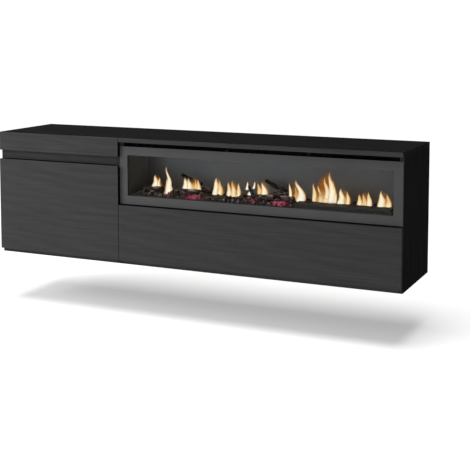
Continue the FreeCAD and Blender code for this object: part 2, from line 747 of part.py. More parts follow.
def make_back_panels():
    vent = ((fan_middle - s.vent_width / 2, s.vent_low), (fan_middle + s.vent_width / 2, s.vent_high))
    service = ((s.service_left, s.vent_low), (s.service_right, s.vent_high))
    make_back_panel("back_panel_left", left_inside, divide, hanger_starts[:2], s.cable_left, [])
    openings = [vent, service]
    make_back_panel("back_panel_right", divide, right_inside, hanger_starts[2:], s.cable_right, openings)
    grommets = []
    for x in (s.cable_left, s.cable_right):
        start = inner_back - s.cable_wall
        tube = rod("y", s.cable_radius, (x, start, s.cable_level), s.back_sheet + s.cable_wall)
        rim = rod("y", s.cable_radius + s.cable_rim, (x, start, s.cable_level), s.cable_wall)
        bore = rod("y", s.cable_radius - s.cable_wall, (x, start, s.cable_level), s.back_sheet + s.cable_wall)
        grommets.append(cut(fuse([tube, rim]), [bore]))
    node("cable_grommets", group(grommets))


# ---- Door and its cup hinges ----

hinge_levels = (s.hinge_upper, s.hinge_lower)
cup_x = left_end + s.cup_centre
cup_pin = (left_end + s.cup_pin_u, front + s.cup_pin_v)
arm_pin = (left_end + s.arm_pin_u, front + s.arm_pin_v)


def make_door():
    """The door: a board with two cup bores in its back and a finger bevel behind its top edge."""
    body = new_body()
    board = sketch_in(body, "XZ_Plane", -fronts_back)
    rectangle(board, (left_fronts_start, fronts_foot), (left_fronts_end, door_top))
    pad(body, board, s.board)
    cups = sketch_in(body, "XZ_Plane", -fronts_back)
    for level in hinge_levels:
        circle(cups, cup_x, level, s.cup_outer)
    pocket(body, cups, s.cup_depth, along_normal=True)
    bevel = sketch_in(body, "YZ_Plane", left_end)
    behind = fronts_back + s.overshoot
    above = door_top + s.overshoot
    outline(bevel, [
        (behind, above), (fronts_back - s.grip_depth, above), (fronts_back - s.grip_depth, door_top),
        (fronts_back, door_top - s.grip_height), (behind, door_top - s.grip_height),
    ])
    pocket(body, bevel, s.left_width, along_normal=True)
    node("door_panel", body)


def make_cups():
    cups = []
    for level in hinge_levels:
        bottom_y = fronts_back - s.cup_depth
        shell = rod("y", s.cup_outer, (cup_x, bottom_y, level), s.cup_depth)
        hollow = rod("y", s.cup_inner, (cup_x, bottom_y + s.cup_floor, level), s.cup_depth)
        low_x = left_end + s.ear_near
        high_x = left_end + s.ear_far
        ears = [box((low_x, fronts_back, start), (high_x, fronts_back + s.ear_thick, end)) for start, end in (
            (level - s.ear_reach, level - s.cup_inner), (level + s.cup_inner, level + s.ear_reach))]
        pin = rod("z", s.cup_pin_radius, (*cup_pin, level - s.cup_pin_reach), s.cup_pin_reach * 2)
        cups.append(fuse([cut(shell, [hollow]), *ears, pin]))
    node("hinge_cups", group(cups))


# The bent web of a hinge link, from the arm pin down into the cup and along its floor to the cup pin.
# Each corner is given from one of the two pins, in X and Y.
WEB_CORNERS = (
    ("arm", -1.8, 0), ("arm", -5, -11), ("arm", -9, -15.4), ("cup", 5, -1.4), ("cup", 0.5, 1.2),
    ("cup", -0.5, -1.2), ("cup", 4, -4.3), ("arm", -7, -18.4), ("arm", -2, -13), ("arm", 1.8, 0),
)


def web_outline():
    pins = {"arm": arm_pin, "cup": cup_pin}
    return [(pins[name][0] + dx, pins[name][1] + dy) for name, dx, dy in WEB_CORNERS]


def make_links():
    links = []
    for level in hinge_levels:
        body = new_body()
        sketch = sketch_in(body, "XY_Plane", level)
        outline(sketch, web_outline())
        pad(body, sketch, s.link_half * 2, both_ways=True)
        low = level - s.link_half
        eyes = [rod("z", s.arm_eye, (*arm_pin, low), s.link_half * 2),
                rod("z", s.cup_eye, (*cup_pin, low), s.link_half * 2)]
        bores = [rod("z", s.arm_pin_radius + s.pivot_play, (*arm_pin, low), s.link_half * 2),
                 rod("z", s.cup_pin_radius + s.pivot_play, (*cup_pin, low), s.link_half * 2)]
        links.append(cut(fuse([body, *eyes]), bores))
    node("hinge_links", group(links))


def make_arms():
    """Hinge arms with their mounting plates, the arm pins riveted in."""
    arms = []
    for level in hinge_levels:
        low_x = left_end + s.arm_low_u
        high_x = left_end + s.arm_high_u
        bar_low = (low_x, front + s.arm_start_v, level - s.arm_half)
        bar = box(bar_low, (high_x, front + s.arm_end_v, level + s.arm_half))
        slot_low = (low_x, front + s.arm_start_v, level - s.arm_slot_half)
        slot = box(slot_low, (high_x, front + s.arm_slot_v, level + s.arm_slot_half))
        foot = box((left_inside, front + s.plate_start_v, level - s.arm_half),
                   (low_x, front + s.arm_end_v, level + s.arm_half))
        plate_low = (left_inside, front + s.plate_start_v, level - s.plate_half)
        plate_end = front + s.arm_end_v - s.arm_half
        plate = box(plate_low, (left_inside + s.plate_thick, plate_end, level + s.plate_half))
        pin = rod("z", s.arm_pin_radius, (*arm_pin, level - s.arm_half), s.arm_half * 2)
        arms.append(fuse([cut(bar, [slot]), foot, plate, pin]))
    node("hinge_arms", group(arms))


def make_bumpers():
    """Two soft bumpers on the door's back, near its opening edge."""
    x = left_fronts_end - s.bumper_inset
    levels = (door_top - s.grip_height - s.bumper_inset, fronts_foot + s.bumper_inset)
    pieces = [rod("y", s.bumper_radius, (x, fronts_back, z), s.bumper_thick) for z in levels]
    node("door_bumpers", group(pieces))


# ---- Drop flap, its hinges, stays and latch ----

leaf_middles = tuple(fan_middle + s.hinge_pitch * step for step in (-1, 0, 1))
half_knuckle = s.knuckle_length / 2


def knuckle_notches(low):
    """Clearance for the three flap hinges' knuckles, from a low corner (y, z) up past the pin."""
    low_y, low_z = low
    reach = s.knuckle_radius + s.knuckle_play
    half = s.leaf_length / 2 + s.knuckle_play
    return [box((x - half, low_y, low_z), (x + half, low_y + reach, low_z + reach * 2)) for x in leaf_middles]


def make_flap():
    board = box((right_fronts_start, fronts_face, fronts_foot), (right_fronts_end, fronts_back, flap_top))
    reach = s.knuckle_radius + s.knuckle_play
    node("flap_panel", cut(board, knuckle_notches((flap_axis_y - reach, flap_axis_z - reach))))


def fixed_leaf(low_x):
    """The leaf under the bottom panel's front edge, with a knuckle at each end."""
    half = s.leaf_length / 2
    high_z = floor + s.leaf_thick
    leaf_high = (low_x + s.leaf_length, flap_axis_y + s.leaf_depth, high_z)
    parts = [box((low_x, flap_axis_y + s.leaf_start, floor), leaf_high)]
    length = half - half_knuckle - s.knuckle_play
    for start in (low_x, low_x + half + half_knuckle + s.knuckle_play):
        parts.append(rod("x", s.knuckle_radius, (start, flap_axis_y, flap_axis_z), length))
        web_low = (start, flap_axis_y, flap_axis_z + s.web_lift)
        parts.append(box(web_low, (start + length, flap_axis_y + s.leaf_start + s.web_lift, high_z)))
    hole = rod("x", s.flap_pin_radius, (low_x, flap_axis_y, flap_axis_z), s.leaf_length)
    return cut(fuse(parts), [hole])


def moving_leaf(low_x):
    """The leaf on the flap's back, with the middle knuckle."""
    start = low_x + s.leaf_length / 2 - half_knuckle
    back = fronts_back + s.leaf_thick
    high_z = flap_axis_z + s.leaf_depth
    leaf_low = (low_x, fronts_back, flap_axis_z + s.leaf_start + s.leaf_thick)
    leaf = box(leaf_low, (low_x + s.leaf_length, back, high_z))
    barrel = rod("x", s.knuckle_radius, (start, flap_axis_y, flap_axis_z), half_knuckle * 2)
    web = box((start, fronts_back, flap_axis_z + s.web_lift), (start + half_knuckle * 2, back, high_z))
    bore = s.flap_pin_radius + s.pivot_play
    hole = rod("x", bore, (start, flap_axis_y, flap_axis_z), half_knuckle * 2)
    return cut(fuse([leaf, barrel, web]), [hole])


def make_flap_hinges():
    """Three butt hinges: outer knuckles on the fixed leaf, the middle one on the moving leaf, and a pin."""
    starts = [middle - s.leaf_length / 2 for middle in leaf_middles]
    pins = [rod("x", s.flap_pin_radius, (low_x, flap_axis_y, flap_axis_z), s.leaf_length) for low_x in starts]
    node("flap_hinge_fixed_leaves", group([fixed_leaf(low_x) for low_x in starts]))
    node("flap_hinge_moving_leaves", group([moving_leaf(low_x) for low_x in starts]))
    node("flap_hinge_pins", group(pins))


stay_pin = (flap_axis_y + s.stay_pin_in, flap_axis_z + s.stay_pin_up)
stay_eye = (flap_axis_y + s.stay_eye_in, flap_axis_z + s.stay_eye_up)


def stay_reach(turn):
    """Distance from the stay's eye to its pin when the flap has turned by this many degrees.

    Both are the same distance from the flap's axis, so the bar turns exactly half as far as the flap."""
    radius = math.hypot(s.stay_pin_in.value, s.stay_pin_up.value)
    pin_angle = math.atan2(s.stay_pin_up.value, s.stay_pin_in.value)
    eye_angle = math.atan2(s.stay_eye_up.value, s.stay_eye_in.value)
    return 2 * radius * math.sin((eye_angle - pin_angle + math.radians(turn)) / 2)


def make_stays():
    """Slotted bars that pivot on the flap and slide on pins in the carcass."""
    bars, pins, brackets = [], [], []
    slope = math.atan2(stay_pin[1].value - stay_eye[1].value, stay_pin[0].value - stay_eye[0].value)
    near = stay_reach(0) - s.stay_end_play.value
    far = stay_reach(90) + s.stay_end_play.value
    slot_half = s.stay_pin_radius + s.stay_slot_play
    for side, panel in ((1, right_divider), (-1, right_inside)):
        low_x = panel + s.stay_side if side > 0 else panel - s.stay_side - s.stay_thick
        high_x = low_x + s.stay_thick
        turn = FreeCAD.Rotation(FreeCAD.Vector(1, 0, 0), math.degrees(slope))
        solid = doc.addObject("Part::Feature", "StayBar")
        solid.Shape = stay_bar_shape(near, far, slot_half.value)
        spot = FreeCAD.Vector(low_x.value, stay_eye[0].value, stay_eye[1].value)
        solid.Placement = FreeCAD.Placement(spot, turn)
        bars.append(solid)
        start = panel if side > 0 else high_x + s.side_play
        shoulder = rod("x", s.stay_head, (start, *stay_pin), s.stay_side - s.side_play)
        head_x = high_x + s.side_play if side > 0 else low_x - s.side_play - s.stay_head_thick
        head = rod("x", s.stay_head, (head_x, *stay_pin), s.stay_head_thick)
        first = panel if side > 0 else head_x
        last = head_x + s.stay_head_thick if side > 0 else panel
        pins.append(fuse([shoulder, head, rod("x", s.stay_pin_radius, (first, *stay_pin), last - first)]))
        brackets.append(stay_bracket(side, low_x, high_x))
    node("stay_bars", group(bars))
    node("stay_pins", group(pins))
    node("stay_brackets", group(brackets))


def stay_bar_shape(near, far, slot_half):
    """One bar along +Y from its eye at the origin, with the eye's hole and the long slot."""
    half = s.stay_half.value
    thick = s.stay_thick.value
    length = far + s.stay_end.value
    along = FreeCAD.Vector(1, 0, 0)
    bar = Part.makeBox(thick, length, half * 2, FreeCAD.Vector(0, 0, -half))
    bar = bar.fuse(Part.makeCylinder(half, thick, FreeCAD.Vector(0, 0, 0), along))
    slot = Part.makeBox(thick, far - near, slot_half * 2, FreeCAD.Vector(0, near, -slot_half))
    for y in (near, far):
        slot = slot.fuse(Part.makeCylinder(slot_half, thick, FreeCAD.Vector(0, y, 0), along))
    hole = s.stay_pin_radius.value + s.pivot_play.value
    eye = Part.makeCylinder(hole, thick, FreeCAD.Vector(0, 0, 0), along)
    return bar.cut(slot).cut(eye).removeSplitter()


def stay_bracket(side, low_x, high_x):
    """An angle on the flap's back whose ear carries the stay's pivot pin."""
    ear_x = high_x + s.side_play if side > 0 else low_x - s.side_play - s.bracket_thick
    eye_y, eye_z = stay_eye
    ear_low = (ear_x, fronts_back, eye_z - s.bracket_ear)
    ear = box(ear_low, (ear_x + s.bracket_thick, eye_y + s.bracket_ear, eye_z + s.bracket_ear))
    foot_x = ear_x if side > 0 else ear_x + s.bracket_thick - s.bracket_foot
    foot_low = (foot_x, fronts_back, eye_z - s.bracket_half)
    foot = box(foot_low, (foot_x + s.bracket_foot, fronts_back + s.bracket_thick, eye_z + s.bracket_half))
    pin_x = low_x - s.eye_pin_end if side > 0 else ear_x
    length = s.bracket_thick + s.stay_thick + s.side_play + s.eye_pin_end
    return fuse([ear, foot, rod("x", s.stay_pin_radius, (pin_x, eye_y, eye_z), length)])


def make_latch():
    """Push-to-open latch under the fireplace shelf; its plunger follows the flap."""
    high_z = shelf_face - s.board
    middle_z = high_z - s.latch_height / 2
    near = front + s.latch_setback
    low = (fan_middle - s.latch_half, near, high_z - s.latch_height)
    shell = box(low, (fan_middle + s.latch_half, near + s.latch_length, high_z))
    bore = rod("y", s.plunger_radius + s.pivot_play, (fan_middle, near, middle_z), s.plunger_bore)
    node("latch_body", cut(shell, [bore]))
    tip = fronts_back + s.plunger_gap
    node("latch_plunger", rod("y", s.plunger_radius, (fan_middle, tip, middle_z), s.plunger_length))


# ---- Fireplace insert: front, casing and firebox ----


def make_flange():
    """A steel frame with a folded rim, lying on the front edges of the panels beside it."""
    body = new_body()
    sketch = sketch_in(body, "XZ_Plane", -front)
    rectangle(sketch, (right_fronts_start, flange_foot), (flange_end, flange_top))
    rectangle(sketch, (window_left, window_foot), (window_right, window_top))
    pad(body, sketch, s.flange_depth)
    hollow = sketch_in(body, "XZ_Plane", -front)
    rim = s.flange_sheet
    rectangle(hollow, (right_fronts_start + rim, flange_foot + rim), (flange_end - rim, flange_top - rim))
    pocket(body, hollow, s.flange_depth - s.flange_sheet, along_normal=True)
    node("fireplace_flange", body)


def make_glass():
    glass_face = front + s.glass_front
    lap = s.glass_lap
    low = (window_left - lap, glass_face, window_foot - lap)
    high = (window_right + lap, glass_face + s.glass_thick, window_top + lap)
    node("glass_pane", box(low, high))
    far = glass_face
    near = glass_face - s.gasket_thick
    wide = s.gasket_width
    ring = box((window_left - wide, near, window_foot - wide), (window_right + wide, far, window_top + wide))
    hole = box((window_left, near, window_foot), (window_right, far, window_top))
    node("glass_gasket", cut(ring, [hole]))


def make_casing():
    """The insert's box of five steel sheets, open at the front. Its back has air slots, a hole for the cord
    gland and a cut-out for the switch."""
    sheet = s.casing_sheet
    floor_top = shelf_face + sheet
    roof_foot = casing_top - sheet
    base = box((casing_left, casing_front, shelf_face), (casing_right, casing_back, floor_top))
    roof = box((casing_left, casing_front, roof_foot), (casing_right, casing_back, casing_top))
    sides = [box((start, casing_front, floor_top), (start + sheet, casing_back, roof_foot))
             for start in (casing_left, casing_right - sheet)]
    back_face = casing_back - sheet
    back = box((casing_left + sheet, back_face, floor_top), (casing_right - sheet, casing_back, roof_foot))
    tools = []
    for index in range(s.louvre_count.value):
        middle = fan_middle + s.louvre_pitch * (index - (s.louvre_count.value - 1) / 2)
        low = (middle - s.louvre_width / 2, back_face, s.louvre_low)
        tools.append(box(low, (middle + s.louvre_width / 2, casing_back, s.louvre_high)))
    tools.append(rod("y", s.gland_outer, (s.gland_x, back_face, s.gland_z), sheet))
    low = (s.rocker_x - s.switch_half, back_face, s.rocker_z - s.switch_tall)
    tools.append(box(low, (s.rocker_x + s.switch_half, casing_back, s.rocker_z + s.switch_tall)))
    node("fire_casing", group([base, roof, *sides, cut(back, tools)]))


def make_firebox():
    sheet = s.firebox_sheet
    low_x = firebox_left - sheet
    high_x = firebox_right + sheet
    sides = [box((start, firebox_face, firebox_foot), (start + sheet, firebox_back, firebox_top))
             for start in (low_x, firebox_right)]
    node("firebox_sides", group(sides))
    plates = [box((low_x, firebox_face, start), (high_x, firebox_back, start + sheet))
              for start in (firebox_foot - sheet, firebox_top)]
    node("firebox_floor_and_roof", group(plates))
    low = (low_x, firebox_back, firebox_foot - sheet)
    node("flame_screen", box(low, (high_x, firebox_back + s.screen_thick, firebox_top + sheet)))


# ---- Fireplace insert: fire bed ----


def make_ember_bed():
    """A hollow translucent moulding with rounded embers on its upper face and a low ledge along its front."""
    wall = s.bed_wall
    top = firebox_foot + s.bed_height
    shell = box((s.bed_left, s.ember_front, firebox_foot), (s.bed_right, s.bed_back, top))
    hollow_low = (s.bed_left + wall, s.ember_front + wall, firebox_foot)
    hollow = box(hollow_low, (s.bed_right - wall, s.bed_back - wall, top - wall))
    ledge_high = (s.bed_right, s.ember_front, firebox_foot + s.ledge_height)
    ledge = box((s.bed_left, s.ledge_front, firebox_foot), ledge_high)
    roof_low = (s.bed_left, s.ember_front, top - wall / 2)
    roof_high = (s.bed_right, s.bed_back, top + s.ember_radius * 2)
    lumps = common(group(make_embers(top)), box(roof_low, roof_high))
    node("ember_bed", fuse([cut(shell, [hollow]), ledge, lumps]))


def make_embers(top):
    """Balls sunk into the bed's upper face, in a chequered pattern."""
    columns = int((s.bed_right.value - s.bed_left.value) / s.ember_pitch.value)
    rows = int((s.bed_back.value - s.ember_front.value) / s.ember_pitch.value)
    embers = []
    for column in range(columns):
        for row in range(column % 2, rows, 2):
            x = s.bed_left + s.ember_start + s.ember_pitch * column
            y = s.ember_front + s.ember_start + s.ember_pitch * row
            embers.append(ball(s.ember_radius, (x, y, top - s.ember_radius / 2)))
    return embers


def make_burner_block():
    low = (s.block_left, s.bed_front, firebox_foot)
    node("burner_block", box(low, (s.block_right, s.bed_back, firebox_foot + s.block_height)))


# Each log: start, end, radius at the start, radius at the end; heights are above the firebox floor
LOGS = (
    ((-197, -290, 23), (-128, -266, 24), 8, 10),
    ((-64, -292, 24), (36, -276, 24), 10, 9),
    ((-60, -226, 24), (62, -232, 24), 9, 10),
    ((72, -311, 13), (150, -309, 13), 6.5, 7),
    ((270, -290, 24), (322, -284, 24), 10, 9),
    ((336, -262, 23), (396, -276, 23), 9, 8),
)
BRANCHES = (
    ((-72, -222, 74), (16, -238, 44), 5, 6.5),
    ((262, -216, 73), (352, -228, 32), 5, 9),
    ((216, -262, 56), (252, -296, 19), 3.5, 5),
)


def tapered(start, end, start_radius, end_radius):
    """A tapered round log between two points above the firebox floor."""
    base = firebox_foot.value
    first = FreeCAD.Vector(start[0], start[1], base + start[2])
    last = FreeCAD.Vector(end[0], end[1], base + end[2])
    piece = doc.addObject("Part::Cone", "Log")
    piece.Radius1 = start_radius
    piece.Radius2 = end_radius
    piece.Height = (last - first).Length
    piece.Placement = FreeCAD.Placement(first, FreeCAD.Rotation(FreeCAD.Vector(0, 0, 1), last - first))
    return piece


def make_logs():
    """Six logs lie on the embers and three branches lean above them."""
    node("logs", group([tapered(*log) for log in LOGS]))
    node("branches", group([tapered(*branch) for branch in BRANCHES]))


# ---- Fireplace insert: lights, flicker rod, blower and heater ----


def light_board(low, high, count, row_y):
    """A circuit board with a row of diodes on its upper face."""
    board_top = low[2] + s.board_thick
    parts = [box(low, (*high, board_top))]
    half = s.led_size / 2
    for index in range(count):
        x = low[0] + s.led_pitch / 2 + s.led_pitch * index
        diode_high = (x + half, row_y + half, board_top + s.led_height)
        parts.append(box((x - half, row_y - half, board_top), diode_high))
    return parts


def make_light_boards():
    low = (s.bed_left + s.ember_board_side, s.bed_front + s.ember_board_edge, firebox_foot)
    high = (s.bed_right - s.ember_board_side, s.bed_back - s.ember_board_edge)
    middle = (s.bed_front + s.bed_back) / 2
    count = int((high[0].value - low[0].value) / s.led_pitch.value)
    node("ember_light_board", fuse(light_board(low, high, count, middle)))
    low = (s.flame_board_left, s.flame_board_near, s.flame_board_level)
    high = (s.flame_board_right, s.flame_board_far)
    count = int((high[0].value - low[0].value) / s.led_pitch.value)
    parts = light_board(low, high, count, s.rod_y)
    foot_low = shelf_face + s.casing_sheet
    for x in (s.flame_board_left + s.led_pitch, s.flame_board_right - s.led_pitch):
        for y in (s.flame_board_near + s.foot_radius * 2, s.flame_board_far - s.foot_radius * 2):
            parts.append(rod("z", s.foot_radius, (x, y, foot_low), s.flame_board_level - foot_low))
    node("flame_light_board", fuse(parts))


def make_flicker_rod():
    """A shaft with reflecting vanes, each turned on from the last one."""
    axis = (s.rod_y, s.rod_z)
    parts = [rod("x", s.rod_radius, (s.rod_left, *axis), s.rod_right - s.rod_left)]
    for index in range(s.vane_count.value):
        vane = doc.addObject("Part::Box", "Vane")
        bind(vane, "Length", s.vane_width)
        bind(vane, "Width", s.vane_reach * 2)
        bind(vane, "Height", s.vane_thick)
        turn = FreeCAD.Rotation(FreeCAD.Vector(1, 0, 0), s.vane_turn.value * index)
        corner = turn.multVec(FreeCAD.Vector(0, -s.vane_reach.value, -s.vane_thick.value / 2))
        start = s.vane_start.value + s.vane_pitch.value * index
        spot = FreeCAD.Vector(start, s.rod_y.value, s.rod_z.value) + corner
        vane.Placement = FreeCAD.Placement(spot, turn)
        parts.append(vane)
    node("flicker_rod", fuse(parts))
    casing_floor = shelf_face + s.casing_sheet
    brackets = []
    for start in (s.bracket_left, s.bracket_right):
        low = (start, s.rod_y - s.rod_bracket_half, casing_floor)
        high = (start + s.rod_bracket, s.rod_y + s.rod_bracket_half, s.rod_z + s.rod_bracket_top)
        hole = rod("x", s.rod_radius + s.pivot_play, (start, *axis), s.rod_bracket)
        brackets.append(cut(box(low, high), [hole]))
    node("flicker_rod_brackets", group(brackets))
    start = s.bracket_right + s.rod_bracket
    motor = rod("x", s.motor_radius, (start, *axis), s.motor_length)
    socket = rod("x", s.rod_radius + s.pivot_play, (start, *axis), s.motor_bore)
    node("flicker_motor", cut(motor, [socket]))


def make_impeller():
    """A cross-flow impeller: a ring of blades between two end discs, with a stub shaft at each end."""
    start = fan_middle - s.fan_length / 2
    end = fan_middle + s.fan_length / 2
    axis = (s.fan_y, s.fan_z)
    discs = (start, fan_middle, end - s.disc_thick)
    parts = [rod("x", s.fan_radius, (x, *axis), s.disc_thick) for x in discs]
    parts.append(rod("x", s.fan_shaft, (start - s.fan_motor_gap, *axis), s.fan_motor_gap + s.disc_thick))
    parts.append(rod("x", s.fan_shaft, (end - s.disc_thick, *axis), s.disc_thick + s.fan_motor_gap * 2))
    for index in range(s.fan_blades.value):
        blade = doc.addObject("Part::Box", "Blade")
        bind(blade, "Length", s.fan_length)
        bind(blade, "Width", s.blade_depth)
        bind(blade, "Height", s.blade_thick)
        turn = FreeCAD.Rotation(FreeCAD.Vector(1, 0, 0), 360 / s.fan_blades.value * index)
        reach = s.fan_radius.value - s.blade_depth.value - s.blade_inset.value
        spot = FreeCAD.Vector(start.value, s.fan_y.value, s.fan_z.value)
        blade.Placement = FreeCAD.Placement(spot + turn.multVec(FreeCAD.Vector(0, reach, 0)), turn)
        parts.append(blade)
    node("blower_impeller", fuse(parts))


def make_scroll():
    """The blower's sheet housing: a half ring behind the impeller, two duct plates and two end plates."""
    inner = s.fan_radius + s.scroll_gap
    outer = inner + s.scroll_sheet
    start = fan_middle - s.fan_length / 2 - s.scroll_side - s.scroll_sheet
    length = s.fan_length + s.scroll_side * 2 + s.scroll_sheet * 2
    axis = (s.fan_y, s.fan_z)
    ring = cut(rod("x", outer, (start, *axis), length), [rod("x", inner, (start, *axis), length)])
    rear = box((start, s.fan_y, s.fan_z), (start + length, s.fan_y + outer, s.fan_z + outer))
    roof_low = (start, s.scroll_front, s.fan_z + inner)
    roof = box(roof_low, (start + length, s.fan_y, s.fan_z + outer))
    lip_low = (start, s.scroll_front, s.duct_low - s.scroll_sheet)
    lip = box(lip_low, (start + length, s.fan_y - inner, s.duct_low))
    ends = []
    for x in (start, start + length - s.scroll_sheet):
        low = (x, s.scroll_front, s.duct_low - s.scroll_sheet)
        high = (x + s.scroll_sheet, s.fan_y + s.scroll_gap, s.fan_z + outer)
        hole = rod("x", s.fan_shaft + s.pivot_play, (x, *axis), s.scroll_sheet)
        ends.append(cut(box(low, high), [hole]))
    node("blower_scroll", fuse([common(ring, rear), roof, lip, *ends]))
    motor_start = fan_middle + s.fan_length / 2 + s.fan_motor_gap
    motor = rod("x", s.fan_motor_radius, (motor_start, *axis), s.fan_motor_length)
    socket = rod("x", s.fan_shaft + s.pivot_play, (motor_start, *axis), s.fan_motor_gap + s.overshoot)
    node("blower_motor", cut(motor, [socket]))


def make_heater():
    """Three heating bars across the duct, with fins, between two end blocks."""
    half = s.fan_length / 2
    low_x = fan_middle - half
    near, far = s.heater_near, s.heater_far
    pitch = (s.heater_high - s.heater_low - s.heater_bar) / (s.bar_count.value - 1)
    inset = s.bar_inset
    parts = []
    for row in range(s.bar_count.value):
        z = s.heater_low + pitch * row
        parts.append(box((low_x, near + inset, z), (fan_middle + half, far - inset, z + s.heater_bar)))
    for x in (low_x, fan_middle + half - s.heater_end):
        parts.append(box((x, near, s.heater_low), (x + s.heater_end, far, s.heater_high)))
    step = (s.fan_length - s.heater_end * 2) / (s.fin_count + 1)
    for index in range(1, s.fin_count.value + 1):
        x = low_x + s.heater_end + step * index
        parts.append(box((x, near, s.heater_low), (x + s.fin_thick, far, s.heater_high)))
    node("heating_element", fuse(parts))


def make_grille():
    """A strip with three rows of long slots, just behind the warm-air slot."""
    body = new_body()
    face = front + s.grille_setback
    sketch = sketch_in(body, "XZ_Plane", -face)
    sheet = s.casing_sheet
    low_z = firebox_top + s.firebox_sheet
    rectangle(sketch, (casing_left + sheet, low_z), (casing_right - sheet, casing_top - sheet))
    feature = pad(body, sketch, s.grille_thick)
    feature.Reversed = True
    slots = []
    for row in range(s.grille_rows.value):
        z = flange_top + s.grille_row_pitch * row - s.grille_slot_height
        for index in range(s.grille_slots.value):
            x = casing_left + s.grille_start + s.grille_pitch * index
            low = (x, face, z)
            slots.append(box(low, (x + s.grille_slot, face + s.grille_thick, z + s.grille_slot_height)))
    node("outlet_grille", cut(body, slots))


# What stands on the control board: distance from its left end, width, depth, height
COMPONENTS = ((10, 22, 20, 18), (40, 16, 16, 12), (64, 26, 12, 9))


def make_control_board():
    """A circuit board on four posts, with a transformer, a relay and a terminal block."""
    low = (s.control_left, s.control_near, s.control_level)
    board_top = s.control_level + s.board_thick
    parts = [box(low, (s.control_right, s.control_far, board_top))]
    for offset, wide, deep, tall in COMPONENTS:
        corner = (s.control_left + offset, s.control_near + s.component_inset, board_top)
        parts.append(box(corner, (corner[0] + wide, corner[1] + deep, board_top + tall)))
    inset = s.foot_radius * 2
    for x in (s.control_left + inset, s.control_right - inset):
        for y in (s.control_near + inset, s.control_far - inset):
            parts.append(rod("z", s.foot_radius, (x, y, s.control_level - s.control_post), s.control_post))
    node("control_board", fuse(parts))


def make_gland():
    """The bush in the casing's back that the mains cord comes out of."""
    start = casing_back - s.gland_length + s.gland_rim_thick
    barrel = rod("y", s.gland_outer, (s.gland_x, start, s.gland_z), s.gland_length)
    rim = rod("y", s.gland_rim, (s.gland_x, casing_back, s.gland_z), s.gland_rim_thick)
    bore = rod("y", s.gland_bore, (s.gland_x, start, s.gland_z), s.gland_length)
    node("cord_gland", cut(fuse([barrel, rim]), [bore]))


def make_switch():
    """The switch's body with its bezel and pocket, and the rocker, built at its off tilt."""
    face = casing_back + s.bezel_thick
    x, z = s.rocker_x, s.rocker_z
    body = box((x - s.switch_half, casing_back - s.switch_depth, z - s.switch_tall),
               (x + s.switch_half, casing_back, z + s.switch_tall))
    wide = s.switch_half + s.bezel_extra
    tall = s.switch_tall + s.bezel_extra
    bezel = box((x - wide, casing_back, z - tall), (x + wide, face, z + tall))
    hollow = box((x - s.pocket_half, face - s.pocket_depth, z - s.pocket_tall),
                 (x + s.pocket_half, face, z + s.pocket_tall))
    axis_y = face - s.rocker_axis
    reach = s.trunnion_reach + s.side_play
    bores = rod("x", s.trunnion + s.pivot_play, (x - reach, axis_y, z), reach * 2)
    node("switch_body", cut(fuse([body, bezel]), [hollow, bores]))

    key_face = s.rocker_axis + s.rocker_front
    key_low = (-s.rocker_half, key_face - s.rocker_deep, -s.rocker_tall)
    key = box(key_low, (s.rocker_half, key_face, s.rocker_tall))
    on_axis = as_size(0)
    trunnions = rod("x", s.trunnion, (-s.trunnion_reach, on_axis, on_axis), s.trunnion_reach * 2)
    rocker = fuse([key, trunnions])
    turn = FreeCAD.Rotation(FreeCAD.Vector(1, 0, 0), s.rocker_tilt.value)
    rocker.Placement = FreeCAD.Placement(FreeCAD.Vector(), turn)
    place(rocker, (x, axis_y, z))
    node("switch_rocker", rocker)


def build():
    make_panels()
    make_trim()
    make_shelf()
    make_cams()
    make_connector_bolts()
    make_wall_rail()
    make_hangers()
    make_back_panels()
    make_door()
    make_cups()
    make_links()
    make_arms()
    make_bumpers()
    make_flap()
    make_flap_hinges()
    make_stays()
    make_latch()
    make_flange()
    make_glass()
    make_casing()
    make_firebox()
    make_ember_bed()
    make_burner_block()
    make_logs()
    make_light_boards()
    make_flicker_rod()
    make_impeller()
    make_scroll()
    make_heater()
    make_grille()
    make_control_board()
    make_gland()
    make_switch()


def check_document():
    """Stops if any object failed, any sub-part is empty or invalid, or a pocket removed nothing."""
    least_cut = 1
    for thing in doc.Objects:
        if {"Invalid", "Error"} & set(thing.State):
            raise RuntimeError(f"{thing.Name} ({thing.Label}) failed: {thing.State}")
        if thing.TypeId == "PartDesign::Pocket":
            before = thing.BaseFeature.Shape.Volume
            if thing.Shape.Volume > before - least_cut:
                raise RuntimeError(f"{thing.Name} removed nothing")
    for piece in nodes:
        if piece.Shape.isNull() or not piece.Shape.isValid():
            raise RuntimeError(f"{piece.Label} has no valid shape")


def export():
    os.makedirs("parts", exist_ok=True)
    for piece in nodes:
        piece.Shape.exportStep(os.path.join("parts", f"{piece.Label}.step"))
        print(f"{piece.Label}: {len(piece.Shape.Solids)} solids, {piece.Shape.Volume / 1000:.1f} cm3")
    print(f"{len(nodes)} nodes")


build()
doc.recompute()
check_document()
export()
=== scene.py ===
import math
import random

import bmesh
import bpy
from mathutils import Matrix, Vector, noise


